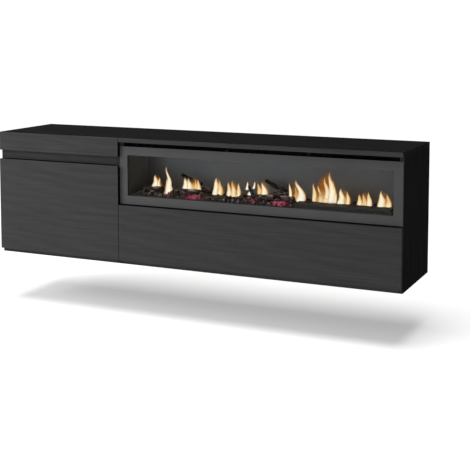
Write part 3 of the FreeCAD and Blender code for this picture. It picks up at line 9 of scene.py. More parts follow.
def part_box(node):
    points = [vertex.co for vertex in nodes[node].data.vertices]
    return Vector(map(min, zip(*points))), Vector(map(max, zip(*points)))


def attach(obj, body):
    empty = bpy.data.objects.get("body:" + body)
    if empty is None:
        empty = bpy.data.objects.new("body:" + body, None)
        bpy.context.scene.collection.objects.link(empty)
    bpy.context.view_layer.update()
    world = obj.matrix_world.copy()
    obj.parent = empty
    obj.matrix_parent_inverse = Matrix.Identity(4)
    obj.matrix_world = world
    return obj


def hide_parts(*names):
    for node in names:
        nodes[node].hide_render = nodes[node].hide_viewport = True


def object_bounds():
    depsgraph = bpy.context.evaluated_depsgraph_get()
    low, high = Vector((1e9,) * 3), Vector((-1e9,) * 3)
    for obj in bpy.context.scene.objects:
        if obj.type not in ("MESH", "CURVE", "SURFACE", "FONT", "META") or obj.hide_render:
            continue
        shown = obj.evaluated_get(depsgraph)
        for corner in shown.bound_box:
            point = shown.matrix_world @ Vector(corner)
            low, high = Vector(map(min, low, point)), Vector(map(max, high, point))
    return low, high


# The wall-hung cabinet with its electric fireplace: studio, materials, and the fire itself. Lengths are in
# metres unless a comment says millimetres.

MM = 0.001

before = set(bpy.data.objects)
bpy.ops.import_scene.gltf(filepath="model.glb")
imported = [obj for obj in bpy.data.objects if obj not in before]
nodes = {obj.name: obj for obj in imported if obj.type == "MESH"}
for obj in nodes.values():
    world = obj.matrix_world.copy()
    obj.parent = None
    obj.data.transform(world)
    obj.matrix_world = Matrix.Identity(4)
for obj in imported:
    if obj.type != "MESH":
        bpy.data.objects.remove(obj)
cad_low, cad_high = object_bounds()


# ---- Studio ----

CAMERA_PLACE = (1.7041, -3.6419, 0.4667)
CAMERA_TURN = 24.526
CAMERA_PITCH = 5.125
CAMERA_LENS = 80.37
CAMERA_SHIFT = -0.25
FLOOR_DROP = 0.19
FLOOR_REACH = 40
FLOOR_GLOW = 0.37
WORLD_LIGHT = 0.15


def make_camera():
    """The camera looks down a little and is shifted, so that the cabinet's uprights stay upright."""
    data = bpy.data.cameras.new("camera")
    data.lens = CAMERA_LENS
    data.shift_y = CAMERA_SHIFT
    camera = bpy.data.objects.new("camera", data)
    camera.location = CAMERA_PLACE
    camera.rotation_euler = (math.radians(90 - CAMERA_PITCH), 0, math.radians(CAMERA_TURN))
    bpy.context.scene.collection.objects.link(camera)
    bpy.context.scene.camera = camera


def aim(light_object, azimuth, elevation):
    """Turns a light to shine from an azimuth (0 is the front, positive to the right) and an elevation."""
    turn = math.radians(azimuth)
    rise = math.radians(elevation)
    source = Vector((math.sin(turn) * math.cos(rise), -math.cos(turn) * math.cos(rise), math.sin(rise)))
    light_object.rotation_euler = source.to_track_quat("Z", "Y").to_euler()


def make_sun(name, azimuth, elevation, strength, spread):
    data = bpy.data.lights.new(name, "SUN")
    data.energy = strength
    data.angle = math.radians(spread)
    sun = bpy.data.objects.new(name, data)
    aim(sun, azimuth, elevation)
    bpy.context.scene.collection.objects.link(sun)


def make_softbox(name, place, target, size, power):
    data = bpy.data.lights.new(name, "AREA")
    data.size = size
    data.energy = power
    box = bpy.data.objects.new(name, data)
    box.location = place
    box.rotation_euler = (Vector(place) - Vector(target)).to_track_quat("Z", "Y").to_euler()
    bpy.context.scene.collection.objects.link(box)


def make_world():
    """White behind the object, and a dimmer even light on it."""
    world = bpy.data.worlds.new("studio")
    world.use_nodes = True
    tree = world.node_tree
    background = tree.nodes["Background"]
    background.inputs["Color"].default_value = (1, 1, 1, 1)
    path = tree.nodes.new("ShaderNodeLightPath")
    level = tree.nodes.new("ShaderNodeMapRange")
    level.inputs["To Min"].default_value = WORLD_LIGHT
    level.inputs["To Max"].default_value = 1.0
    tree.links.new(path.outputs["Is Camera Ray"], level.inputs["Value"])
    tree.links.new(level.outputs["Result"], background.inputs["Strength"])
    bpy.context.scene.world = world


def make_floor():
    """A pale matt floor below the hanging cabinet, bright enough to meet the white behind it."""
    mesh = bmesh.new()
    level = cad_low.z - FLOOR_DROP
    corners = [(x, y, level) for x, y in ((-1, -1), (1, -1), (1, 1), (-1, 1))]
    mesh.faces.new([mesh.verts.new((x * FLOOR_REACH, y * FLOOR_REACH, z)) for x, y, z in corners])
    floor = add_object("floor", mesh)
    look = Look("pale_floor", roughness=0.9)
    mottle = look.noise(6, detail=3)
    look.colour(look.ramp(mottle, [(0.3, (0.57, 0.57, 0.57)), (0.7, (0.59, 0.59, 0.59))]))
    look.shader.inputs["Emission Color"].default_value = (1, 1, 1, 1)
    look.shader.inputs["Emission Strength"].default_value = FLOOR_GLOW
    look.shader.inputs["Specular IOR Level"].default_value = 0
    floor.data.materials.append(look.material)


# ---- Meshes ----

# How far from a log's end its points still belong to the end ring, and how close points are one point
END_RING_DEPTH = 2.5 * MM
SAME_POINT = 0.01 * MM


def add_object(name, mesh, smooth=False):
    """Turns a bmesh into a linked object and frees it."""
    data = bpy.data.meshes.new(name)
    mesh.normal_update()
    mesh.to_mesh(data)
    mesh.free()
    for polygon in data.polygons:
        polygon.use_smooth = smooth
    thing = bpy.data.objects.new(name, data)
    bpy.context.scene.collection.objects.link(thing)
    return thing


def bridge(mesh, first, second):
    """A skin of quads between two closed loops with the same number of corners."""
    for index in range(len(first)):
        following = (index + 1) % len(first)
        mesh.faces.new((first[index], first[following], second[following], second[index]))


def finish_piece(piece, look, body, *replaced):
    """Gives a piece its material and its body, and hides the CAD nodes it stands for."""
    piece.data.materials.clear()
    piece.data.materials.append(look.material)
    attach(piece, body)
    if replaced:
        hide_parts(*replaced)


def solids_of(name):
    """The separate solids of a CAD node, each as a list of its corner points."""
    mesh = bmesh.new()
    mesh.from_mesh(nodes[name].data)
    bmesh.ops.remove_doubles(mesh, verts=mesh.verts, dist=SAME_POINT)
    left = set(mesh.verts)
    solids = []
    while left:
        stack = [left.pop()]
        found = []
        while stack:
            vertex = stack.pop()
            found.append(vertex.co.copy())
            for edge in vertex.link_edges:
                other = edge.other_vert(vertex)
                if other in left:
                    left.remove(other)
                    stack.append(other)
        solids.append(found)
    mesh.free()
    return sorted(solids, key=lambda points: min(point.x for point in points))


def axis_of(points):
    """The two end centres and end radii of a round tapered solid that lies mostly along X."""
    middle = sum(points, Vector()) / len(points)
    halves = [[point for point in points if (point.x < middle.x) == first] for first in (True, False)]
    way = (sum(halves[1], Vector()) / len(halves[1]) - sum(halves[0], Vector()) / len(halves[0])).normalized()
    reaches = [(point - middle).dot(way) for point in points]
    centres, radii = [], []
    for limit in (min(reaches), max(reaches)):
        ring = [point for point, reach in zip(points, reaches) if abs(reach - limit) < END_RING_DEPTH]
        centre = sum(ring, Vector()) / len(ring)
        centres.append(centre)
        radii.append(max((point - centre).length for point in ring))
    return centres, radii


# ---- Materials ----

# A board's face turns from edge to front between these shares of Y in its normal
EDGE_TURN = (0.3, 0.6)
# The glass's gloss seen square on and from the edge, and how late it rises
GLASS_SHEEN = (0.003, 0.35)
GLASS_SHEEN_POWER = 4
# Where the painted shadow on the flame screen's left end starts and stops fading, along X
SCREEN_PAINTED_SHADOW = (-0.215, -0.14)
# How far the parts on each circuit board stand above it, in millimetres
BOARD_PARTS = (("ember_light_board", 1.8), ("flame_light_board", 1.8), ("control_board", 18))


class Look:
    """A material in the making, with its Principled shader and short ways to add nodes to it."""

    def __init__(self, name, roughness=0.5, metallic=0.0):
        self.material = bpy.data.materials.new(name)
        self.material.use_nodes = True
        self.tree = self.material.node_tree
        self.shader = self.tree.nodes["Principled BSDF"]
        self.shader.inputs["Roughness"].default_value = roughness
        self.shader.inputs["Metallic"].default_value = metallic
        self.coordinates = self.add("ShaderNodeTexCoord")

    def add(self, kind, **settings):
        node = self.tree.nodes.new(kind)
        for name, value in settings.items():
            setattr(node, name, value)
        return node

    def link(self, source, target):
        self.tree.links.new(source, target)

    def space(self, stretch):
        """The object's own coordinates, stretched."""
        mapping = self.add("ShaderNodeMapping")
        mapping.inputs["Scale"].default_value = stretch
        self.link(self.coordinates.outputs["Object"], mapping.inputs["Vector"])
        return mapping.outputs["Vector"]

    def noise(self, scale, stretch=(1, 1, 1), detail=4, rough=0.55, distortion=0.0):
        node = self.add("ShaderNodeTexNoise")
        node.inputs["Scale"].default_value = scale
        node.inputs["Detail"].default_value = detail
        node.inputs["Roughness"].default_value = rough
        node.inputs["Distortion"].default_value = distortion
        self.link(self.space(stretch), node.inputs["Vector"])
        return node.outputs["Fac"]

    def waves(self, scale, stretch, distortion, detail_scale, direction="DIAGONAL"):
        node = self.add("ShaderNodeTexWave", bands_direction=direction)
        node.inputs["Scale"].default_value = scale
        node.inputs["Distortion"].default_value = distortion
        node.inputs["Detail"].default_value = 3
        node.inputs["Detail Scale"].default_value = detail_scale
        self.link(self.space(stretch), node.inputs["Vector"])
        return node.outputs["Fac"]

    def cells(self, scale, stretch=(1, 1, 1), feature="F1", output="Distance"):
        node = self.add("ShaderNodeTexVoronoi", feature=feature)
        node.inputs["Scale"].default_value = scale
        self.link(self.space(stretch), node.inputs["Vector"])
        return node.outputs[output]

    def ramp(self, factor, stops):
        """Colours along a factor; each stop is a position and a linear colour."""
        node = self.add("ShaderNodeValToRGB")
        elements = node.color_ramp.elements
        for element, (position, colour) in zip(elements, (stops[0], stops[-1])):
            element.position = position
            element.color = (*colour, 1)
        for position, colour in stops[1:-1]:
            elements.new(position).color = (*colour, 1)
        self.link(factor, node.inputs["Fac"])
        return node.outputs["Color"]

    def band(self, value, start, end, low=0.0, high=1.0):
        """A value remapped from one range to another, held at the ends."""
        node = self.add("ShaderNodeMapRange")
        self.link(value, node.inputs["Value"])
        for name, number in (("From Min", start), ("From Max", end), ("To Min", low), ("To Max", high)):
            node.inputs[name].default_value = number
        return node.outputs["Result"]

    def maths(self, operation, *values):
        node = self.add("ShaderNodeMath", operation=operation)
        for socket, value in zip(node.inputs, values):
            if isinstance(value, (int, float)):
                socket.default_value = value
            else:
                self.link(value, socket)
        return node.outputs["Value"]

    def mix(self, factor, first, second, blend="MIX"):
        """Mixes two colours, each a socket or a linear colour."""
        node = self.add("ShaderNodeMix", data_type="RGBA", blend_type=blend)
        for socket, value in zip((node.inputs[0], node.inputs[6], node.inputs[7]), (factor, first, second)):
            if isinstance(value, (int, float)):
                socket.default_value = value
            elif isinstance(value, tuple):
                socket.default_value = (*value, 1)
            else:
                self.link(value, socket)
        return node.outputs[2]

    def part_of(self, source, axis):
        """One coordinate of the object's own Object or Normal vector."""
        node = self.add("ShaderNodeSeparateXYZ")
        self.link(self.coordinates.outputs[source], node.inputs["Vector"])
        return node.outputs[axis]

    def bump(self, height, distance, strength=1.0):
        """Adds relief on top of the relief that is there already; the distance is in metres."""
        node = self.add("ShaderNodeBump")
        node.inputs["Distance"].default_value = distance
        node.inputs["Strength"].default_value = strength
        self.link(height, node.inputs["Height"])
        normal = self.shader.inputs["Normal"]
        if normal.is_linked:
            self.link(normal.links[0].from_socket, node.inputs["Normal"])
        self.link(node.outputs["Normal"], normal)

    def colour(self, source):
        self.link(source, self.shader.inputs["Base Color"])

    def roughness(self, source, low, high):
        self.link(self.band(source, 0.3, 0.7, low, high), self.shader.inputs["Roughness"])


def linear(value):
    """A display value from 0 to 255 as linear light."""
    share = value / 255
    return share / 12.92 if share <= 0.04045 else ((share + 0.055) / 1.055) ** 2.4


def tone(red, green=None, blue=None):
    """A linear colour from display values; one value gives a grey."""
    return (linear(red), linear(red if green is None else green), linear(red if blue is None else blue))


def along(axis, lengthwise, across):
    """Stretch factors for a grain that runs along X, Y or Z."""
    return tuple(lengthwise if name == axis else across for name in "XYZ")


def wood_board(name, axis, shades, edge=None, front=None, gloss=0.0):
    """Embossed wood-grain laminate: long fine streaks, a faint wavy figure and short dark pores. The shades
    are three display values. If it is given, edge is the display value of the faces that look sideways, up or
    down, and front that of the faces that look forwards or back."""
    look = Look(name)
    streaks = look.noise(1, along(axis, 4, 300), detail=4, rough=0.6)
    broad = look.noise(1, along(axis, 2.5, 60), detail=2)
    figure = look.waves(16, along(axis, 0.12, 1), 6, 1.6)
    pores = look.noise(1, along(axis, 26, 900), detail=2, rough=0.5)
    grain = look.mix(0.25, look.mix(0.12, streaks, figure), broad)
    shade = look.ramp(grain, [(place, tone(value)) for place, value in zip((0.3, 0.5, 0.7), shades)])
    pore_mask = look.band(pores, 0.30, 0.40, 0.75, 1.0)
    shade = look.mix(1.0, shade, pore_mask, "MULTIPLY")
    facing = look.maths("ABSOLUTE", look.part_of("Normal", "Y"))
    if edge:
        shade = look.mix(look.band(facing, *EDGE_TURN, 1.0, 0.0), shade, tone(edge))
    if front:
        shade = look.mix(look.band(facing, *EDGE_TURN), shade, tone(front))
    look.colour(shade)
    look.roughness(streaks, 0.55, 0.7)
    look.bump(grain, 0.25 * MM, 0.35)
    look.bump(pores, 0.12 * MM, 0.5)
    look.shader.inputs["Specular IOR Level"].default_value = gloss
    return look


def hardboard():
    """Thin back sheet: dark foil towards the room, raw pressed fibre towards the wall."""
    look = Look("hardboard")
    fibres = look.noise(220, detail=6, rough=0.7, distortion=1.5)
    blotches = look.noise(9, detail=3)
    raw = look.ramp(fibres, [(0.3, tone(84, 62, 42)), (0.5, tone(112, 85, 59)), (0.72, tone(139, 110, 80))])
    raw = look.mix(look.band(blotches, 0.35, 0.65, 0.0, 0.35), raw, tone(92, 70, 50))
    foil = look.ramp(fibres, [(0.3, tone(32)), (0.7, tone(42))])
    rear = look.band(look.part_of("Normal", "Y"), 0.2, 0.3)
    look.colour(look.mix(rear, foil, raw))
    look.roughness(fibres, 0.68, 0.85)
    look.bump(fibres, 0.1 * MM, 0.6)
    return look


def plated_steel(name, dark, light, rough, spangle):
    """Sheet or turned steel with a plated skin: soft patches, fine scratches and a little grime."""
    look = Look(name, metallic=1.0)
    patches = look.cells(spangle, output="Color")
    grime = look.noise(35, detail=5, rough=0.65)
    shade = look.mix(0.35, look.ramp(grime, [(0.3, tone(dark)), (0.7, tone(light))]), patches, "SOFT_LIGHT")
    muted = look.add("ShaderNodeHueSaturation")
    muted.inputs["Saturation"].default_value = 0.06
    look.link(shade, muted.inputs["Color"])
    look.colour(muted.outputs["Color"])
    scratches = look.noise(1, (60, 900, 900), detail=3)
    look.roughness(grime, rough - 0.07, rough + 0.1)
    look.bump(scratches, 0.03 * MM, 0.5)
    return look


def moulded_plastic(name, colour, rough=0.42):
    """Spark-textured moulding: an even fine grain and faint flow marks."""
    look = Look(name)
    grain = look.noise(2600, detail=2)
    flow = look.noise(28, detail=3, distortion=0.8)
    low = tuple(part * 0.82 for part in colour)
    high = tuple(part * 1.18 for part in colour)
    look.colour(look.ramp(flow, [(0.3, low), (0.7, high)]))
    look.roughness(flow, rough - 0.06, rough + 0.08)
    look.bump(grain, 0.04 * MM, 0.6)
    return look


def painted_steel(name, colour, rough, grain=1500, relief=0.05, rear=None):
    """Powder coat: a fine orange peel over sheet steel, a little uneven in shade. If there is a rear colour,
    the coat fades to it over the depth of the firebox as painted light, paler towards the back."""
    look = Look(name)
    peel = look.noise(grain, detail=2, rough=0.4)
    haze = look.noise(7, detail=4, rough=0.6)
    low = tuple(part * 0.93 for part in colour)
    high = tuple(part * 1.07 for part in colour)
    shade = look.ramp(haze, [(0.3, low), (0.7, high)])
    # Painted light: the colour turns to the paler rear colour towards the back.
    if rear:
        front_edge, rear_edge = (corner.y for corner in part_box("firebox_sides"))
        shade = look.mix(look.band(look.part_of("Object", "Y"), front_edge, rear_edge), shade, rear)
    speck = look.band(look.noise(grain * 0.8, detail=1), 0.30, 0.42, 0.86, 1.0)
    look.colour(look.mix(1.0, shade, speck, "MULTIPLY"))
    look.roughness(haze, rough - 0.05, rough + 0.06)
    look.bump(peel, relief * MM, 0.7)
    look.shader.inputs["Specular IOR Level"].default_value = 0.08
    return look


def soft_rubber(name, colour, clear=0.0):
    look = Look(name, roughness=0.55)
    dust = look.noise(140, detail=4, rough=0.7)
    low = tuple(part * 0.8 for part in colour)
    look.colour(look.ramp(dust, [(0.35, low), (0.75, colour)]))
    look.roughness(dust, 0.48, 0.7)
    look.bump(dust, 0.03 * MM, 0.5)
    look.shader.inputs["Transmission Weight"].default_value = clear
    return look


def window_glass():
    """Clear low-iron glass: the view goes straight through, with a faint gloss and a trace of dust."""
    look = Look("window_glass")
    look.tree.nodes.remove(look.shader)
    clear = look.add("ShaderNodeBsdfTransparent")
    gloss = look.add("ShaderNodeBsdfGlossy")
    dust = look.noise(26, detail=5, rough=0.7)
    tint = look.ramp(dust, [(0.3, (0.985, 0.99, 0.988)), (0.8, (0.972, 0.978, 0.975))])
    look.link(tint, clear.inputs["Color"])
    look.link(look.band(dust, 0.3, 0.7, 0.03, 0.07), gloss.inputs["Roughness"])
    facing = look.add("ShaderNodeLayerWeight").outputs["Facing"]
    sheen = look.band(look.maths("POWER", facing, GLASS_SHEEN_POWER), 0.0, 1.0, *GLASS_SHEEN)
    blend = look.add("ShaderNodeMixShader")
    look.link(sheen, blend.inputs["Fac"])
    look.link(clear.outputs["BSDF"], blend.inputs[1])
    look.link(gloss.outputs["BSDF"], blend.inputs[2])
    look.link(blend.outputs["Shader"], look.tree.nodes["Material Output"].inputs["Surface"])
    return look


def flame_screen():
    """Smoky diffusing plastic: even grey with a fine haze, and a painted shadow that darkens its left end."""
    look = Look("flame_screen_plastic", roughness=0.55)
    haze = look.noise(5, (1, 1, 0.4), detail=4)
    grain = look.noise(1800, detail=2)
    grey = look.ramp(haze, [(0.3, tone(110, 113, 117)), (0.7, tone(116, 119, 123))])
    # Painted shadow: the screen's colour darkens towards its left end.
    painted_shadow_end = look.band(look.part_of("Object", "X"), *SCREEN_PAINTED_SHADOW, 0.6, 0.0)
    look.colour(look.mix(painted_shadow_end, grey, tone(50, 48, 44)))
    look.roughness(haze, 0.5, 0.62)
    look.bump(grain, 0.03 * MM, 0.4)
    look.shader.inputs["Specular IOR Level"].default_value = 0.1
    return look


def circuit_board(name, board_top):
    """Green solder mask with copper tracks; what stands on the board is pale plastic."""
    look = Look(name, roughness=0.35)
    tracks = look.add("ShaderNodeTexBrick", offset=0.37, squash=1.0)
    for socket, number in (("Scale", 90), ("Mortar Size", 0.05), ("Brick Width", 0.9), ("Row Height", 0.3)):
        tracks.inputs[socket].default_value = number
    look.link(look.space((1, 1, 1)), tracks.inputs["Vector"])
    mask = look.mix(tracks.outputs["Fac"], tone(22, 74, 44), tone(58, 112, 66))
    mottle = look.noise(160, detail=4)
    housing = look.ramp(mottle, [(0.3, tone(196, 190, 170)), (0.7, tone(222, 218, 204))])
    above = look.band(look.part_of("Object", "Z"), board_top, board_top + 0.2 * MM)
    look.colour(look.mix(above, mask, housing))
    look.roughness(mottle, 0.3, 0.5)
    look.bump(tracks.outputs["Fac"], 0.05 * MM, 0.5)
    return look


def crinkled_foil():
    look = Look("mirror_foil", metallic=1.0)
    folds = look.cells(160, feature="DISTANCE_TO_EDGE")
    ripple = look.noise(90, detail=4, distortion=1.2)
    look.colour(look.ramp(ripple, [(0.3, tone(196, 196, 200)), (0.7, tone(232, 232, 234))]))
    look.roughness(ripple, 0.12, 0.26)
    look.bump(folds, 0.4 * MM, 0.5)
    look.bump(ripple, 0.3 * MM, 0.5)
    return look


def brushed_metal(name, stretch, dark, light, rough):
    """Metal with fine marks along one direction."""
    look = Look(name, metallic=1.0)
    marks = look.noise(1, stretch, detail=4, rough=0.6)
    stain = look.noise(40, detail=3)
    shade = look.ramp(marks, [(0.3, tone(dark)), (0.7, tone(light))])
    stained = tone(dark * 0.8, dark * 0.76, dark * 0.7)
    look.colour(look.mix(look.band(stain, 0.5, 0.8, 0.0, 0.4), shade, stained))
    look.roughness(marks, rough - 0.06, rough + 0.08)
    look.bump(marks, 0.04 * MM, 0.6)
    return look


def charred_wood(name, brown, ridge, ash, glow):
    """Burnt bark: deep furrows, blocky char cracks, pale ash on top and a few glowing seams."""
    look = Look(name, roughness=0.8)
    furrows = look.noise(1, (60, 330, 330), detail=6, rough=0.7, distortion=0.6)
    blocks = look.cells(70, (0.8, 1.6, 1.6), feature="DISTANCE_TO_EDGE")
    patches = look.noise(36, detail=5, rough=0.65)
    bark = look.ramp(furrows, [
        (0.32, tone(22, 18, 15)), (0.5, tone(*brown)), (0.68, tone(ridge, ridge * 0.85, ridge * 0.75))])
    bark = look.mix(look.band(blocks, 0.0, 0.06, 0.85, 0.0), bark, tone(10, 8, 7))
    upward = look.band(look.part_of("Normal", "Z"), 0.1, 0.9)
    dusted = look.maths("MULTIPLY", upward, look.band(patches, 0.50, 0.60, 0.0, ash))
    look.colour(look.mix(dusted, bark, tone(190, 180, 172)))
    look.roughness(furrows, 0.72, 0.92)
    look.bump(furrows, 1.2 * MM, 0.8)
    look.bump(blocks, 1.5 * MM, 0.5)
    look.shader.inputs["Specular IOR Level"].default_value = 0.1
    seams = look.maths("MULTIPLY", look.band(blocks, 0.0, 0.035, 1.0, 0.0), look.band(patches, 0.56, 0.66))
    look.link(look.mix(seams, (0, 0, 0), tone(190, 58, 62)), look.shader.inputs["Emission Color"])
    look.shader.inputs["Emission Strength"].default_value = glow
    return look


def ember_coal():
    """Charcoal lumps: black to brown by lump, pale ash, and a pink-red glow where a lump is hot."""
    look = Look("ember_coal", roughness=0.8)
    paint = look.add("ShaderNodeAttribute", attribute_name="coal_paint")
    parts = look.add("ShaderNodeSeparateColor")
    look.link(paint.outputs["Color"], parts.inputs["Color"])
    pits = look.noise(420, detail=6, rough=0.7)
    base = look.ramp(parts.outputs["Red"], [
        (0.0, tone(19, 14, 10)), (0.5, tone(46, 34, 27)),
        (0.85, tone(80, 62, 50)), (1.0, tone(134, 116, 104))])
    base = look.mix(look.band(pits, 0.35, 0.55, 0.7, 0.0), base, tone(16, 13, 11))
    upward = look.band(look.part_of("Normal", "Z"), 0.3, 0.9)
    dusted = look.maths("MULTIPLY", parts.outputs["Blue"], look.band(pits, 0.42, 0.58))
    look.colour(look.mix(look.maths("MULTIPLY", upward, dusted), base, tone(180, 168, 158)))
    look.roughness(pits, 0.7, 0.92)
    look.bump(pits, 0.8 * MM, 0.8)
    heat = look.maths("MULTIPLY", parts.outputs["Green"], look.band(pits, 0.36, 0.62))
    look.link(look.mix(heat, (0, 0, 0), tone(188, 52, 92)), look.shader.inputs["Emission Color"])
    look.shader.inputs["Emission Strength"].default_value = 0.9
    look.shader.inputs["Specular IOR Level"].default_value = 0.1
    return look


def burner_gravel():
    """Dark brown burner top: fine crushed stone, bound and smoked."""
    look = Look("burner_gravel", roughness=0.75)
    grit = look.cells(260, output="Color")
    soot = look.noise(30, detail=5, rough=0.65)
    shade = look.ramp(soot, [(0.3, tone(12, 9, 6)), (0.55, tone(25, 19, 13)), (0.75, tone(42, 32, 24))])
    look.colour(look.mix(0.35, shade, grit, "SOFT_LIGHT"))
    look.roughness(soot, 0.65, 0.85)
    look.bump(look.cells(260), 0.8 * MM, 0.7)
    return look


def flame_light():
    """Light itself: cream in the core, orange towards the edges, clear at the rim and the tips."""
    look = Look("flame_light", roughness=1.0)
    paint = look.add("ShaderNodeAttribute", attribute_name="tongue_paint")
    parts = look.add("ShaderNodeSeparateColor")
    look.link(paint.outputs["Color"], parts.inputs["Color"])
    streaks = look.noise(1, (300, 300, 26), detail=3)
    heat = look.maths("ADD", parts.outputs["Red"], look.band(streaks, 0.3, 0.7, -0.2, 0.2))
    shade = look.ramp(heat, [
        (0.0, tone(138, 82, 34)), (0.28, tone(206, 146, 76)), (0.5, tone(246, 208, 142)),
        (0.68, tone(255, 236, 198)), (0.9, tone(255, 249, 232))])
    look.shader.inputs["Base Color"].default_value = (0, 0, 0, 1)
    look.link(shade, look.shader.inputs["Emission Color"])
    look.shader.inputs["Emission Strength"].default_value = 1.0
    look.shader.inputs["Specular IOR Level"].default_value = 0
    look.link(parts.outputs["Green"], look.shader.inputs["Alpha"])
    return look


# ---- The CAD nodes' finishes ----


def dress_cad_nodes():
    """Gives every CAD node that stays visible its finish."""
    # The fronts' faces that look sideways, up or down are near black, so their edges show as dark lines.
    front_board = wood_board("front_board", "X", (49, 55.5, 62), edge=12, gloss=0.02)
    carcass_board = wood_board("carcass_board", "X", (21, 28, 36))
    side_board = wood_board("side_board", "Z", (17, 25, 34), front=50)
    bottom_board = wood_board("bottom_board", "X", (54, 60, 66), edge=28)
    # Painted shade: a darker copy of the carcass board, for the fireplace shelf.
    painted_shade_board = wood_board("painted_shade_board", "X", (10, 13, 16))
    zinc = plated_steel("zinc_plate", 150, 186, 0.38, 55)
    nickel = plated_steel("nickel_plate", 172, 206, 0.24, 120)
    bright_bolt = brushed_metal("bolt_steel", (500, 60, 500), 160, 205, 0.3)
    grey_plastic = moulded_plastic("grey_plastic", tone(120, 122, 124))
    black_plastic = moulded_plastic("black_plastic", tone(28))
    black_paint = painted_steel("casing_paint", tone(16), 0.6)
    finishes = (
        (front_board, ("left_fascia", "right_top_strip", "door_panel", "flap_panel", "top_rail_left")),
        (carcass_board, ("top_panel", "adjustable_shelf")),
        (painted_shade_board, ("fireplace_shelf",)),
        (bottom_board, ("bottom_panel_left", "bottom_panel_right")),
        (side_board, ("left_side_panel", "right_side_panel", "left_divider_panel", "right_divider_panel")),
        (hardboard(), ("back_panel_left", "back_panel_right")),
        (zinc, ("wall_rail", "hanger_hooks", "stay_bars", "stay_brackets", "cam_fittings", "shelf_pins")),
        (nickel, ("hinge_cups", "hinge_links", "hinge_arms", "flap_hinge_fixed_leaves",
                  "flap_hinge_moving_leaves")),
        (bright_bolt, ("connector_bolts", "stay_pins", "flap_hinge_pins")),
        (grey_plastic, ("hanger_housings",)),
        (black_plastic, ("cable_grommets", "latch_body", "latch_plunger", "cord_gland", "switch_body",
                         "switch_rocker")),
        (soft_rubber("clear_bumper", tone(205, 208, 206), 0.5), ("door_bumpers",)),
        (soft_rubber("black_gasket", tone(30)), ("glass_gasket",)),
        (painted_steel("flange_paint", tone(72), 0.5), ("fireplace_flange",)),
        (black_paint, ("fire_casing", "outlet_grille", "blower_scroll", "flicker_rod_brackets")),
        # Painted light: the firebox lining is painted paler towards its rear.
        (painted_steel("firebox_paint", tone(66, 64, 60), 0.6, 700, 0.1, rear=tone(106, 103, 96)),
         ("firebox_sides", "firebox_floor_and_roof")),
        (window_glass(), ("glass_pane",)),
        (flame_screen(), ("flame_screen",)),
        (crinkled_foil(), ("flicker_rod",)),
        (brushed_metal("motor_shell", (60, 700, 700), 120, 165, 0.35), ("flicker_motor", "blower_motor")),
        (brushed_metal("blower_alloy", (30, 500, 500), 165, 205, 0.3), ("blower_impeller",)),
        (brushed_metal("heater_alloy", (500, 500, 60), 130, 178, 0.42), ("heating_element",)),
    )
    for look, names in finishes:
        for name in names:
            dress(name, look)
    for name, parts_height in BOARD_PARTS:
        board_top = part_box(name)[1].z - parts_height * MM
        dress(name, circuit_board(name + "_finish", board_top))


def dress(name, look):
    thing = nodes[name]
    if not thing.material_slots:
        thing.data.materials.append(look.material)
    for slot in thing.material_slots:
        slot.material = look.material


# ---- The fire bed ----

# Hot places in the bed, in millimetres: X, Y and radius; then the strength
GLOW_SPOTS = ((-80, -300, 12, 0.5), (20, -309, 25, 1.0), (248, -296, 14, 0.6), (350, -309, 25, 1.0))
# Larger pieces of charcoal along the front of the bed, and a mound at the foot of a branch, in millimetres:
# X, Y, height above the bed's foot, and size
CHUNKS = (
    (-190, -303, 13, 7.5), (-152, -301, 15, 8), (-72, -301, 17, 9), (-54, -304, 19, 10), (-26, -302, 20, 8.5),
    (50, -303, 17, 8), (112, -297, 17, 7), (200, -301, 17, 8), (234, -303, 18, 9), (263, -304, 18, 9),
    (301, -303, 19, 8), (337, -296, 18, 9), (371, -291, 18, 10), (392, -300, 15, 8),
    (322, -240, 27, 22), (346, -236, 23, 19), (304, -242, 18, 15),
)
COAL_PITCH = 10 * MM
COAL_MARGIN = 7 * MM
BARE_END = 14 * MM
HOT_COAL_MARGIN = 11 * MM
LEDGE_DEPTH = 21 * MM
LEDGE_HEIGHT = 5 * MM
TRAY_HEIGHT = 9 * MM


def lump_shape(mesh, centre, size, stretch, seed, paint, layer, cuts=2):
    """One coal: a ball pushed in and out by noise, with its own paint."""
    made = bmesh.ops.create_icosphere(mesh, subdivisions=cuts, radius=1.0)
    turn = Matrix.Rotation(seed * 2.4, 3, Vector((math.sin(seed), math.cos(seed * 1.7), 0.6)).normalized())
    for vertex in made["verts"]:
        way = vertex.co.normalized()
        push = 1 + 0.42 * noise.noise(way * 1.5 + Vector((seed * 3.1, 0, 0)))
        push += 0.16 * noise.noise(way * 4.5 + Vector((0, seed * 1.3, 0)))
        point = turn @ Vector((way.x * stretch[0], way.y * stretch[1], way.z * stretch[2])) * (push * size)
        vertex.co = centre + point
        vertex[layer] = (*paint, 1)


def glow_at(x, y):
    """How hot a coal is at a place in the bed."""
    heats = [strength * math.exp(-((x / MM - spot_x) ** 2 + (y / MM - spot_y) ** 2) / radius ** 2)
             for spot_x, spot_y, radius, strength in GLOW_SPOTS]
    return max(heats)


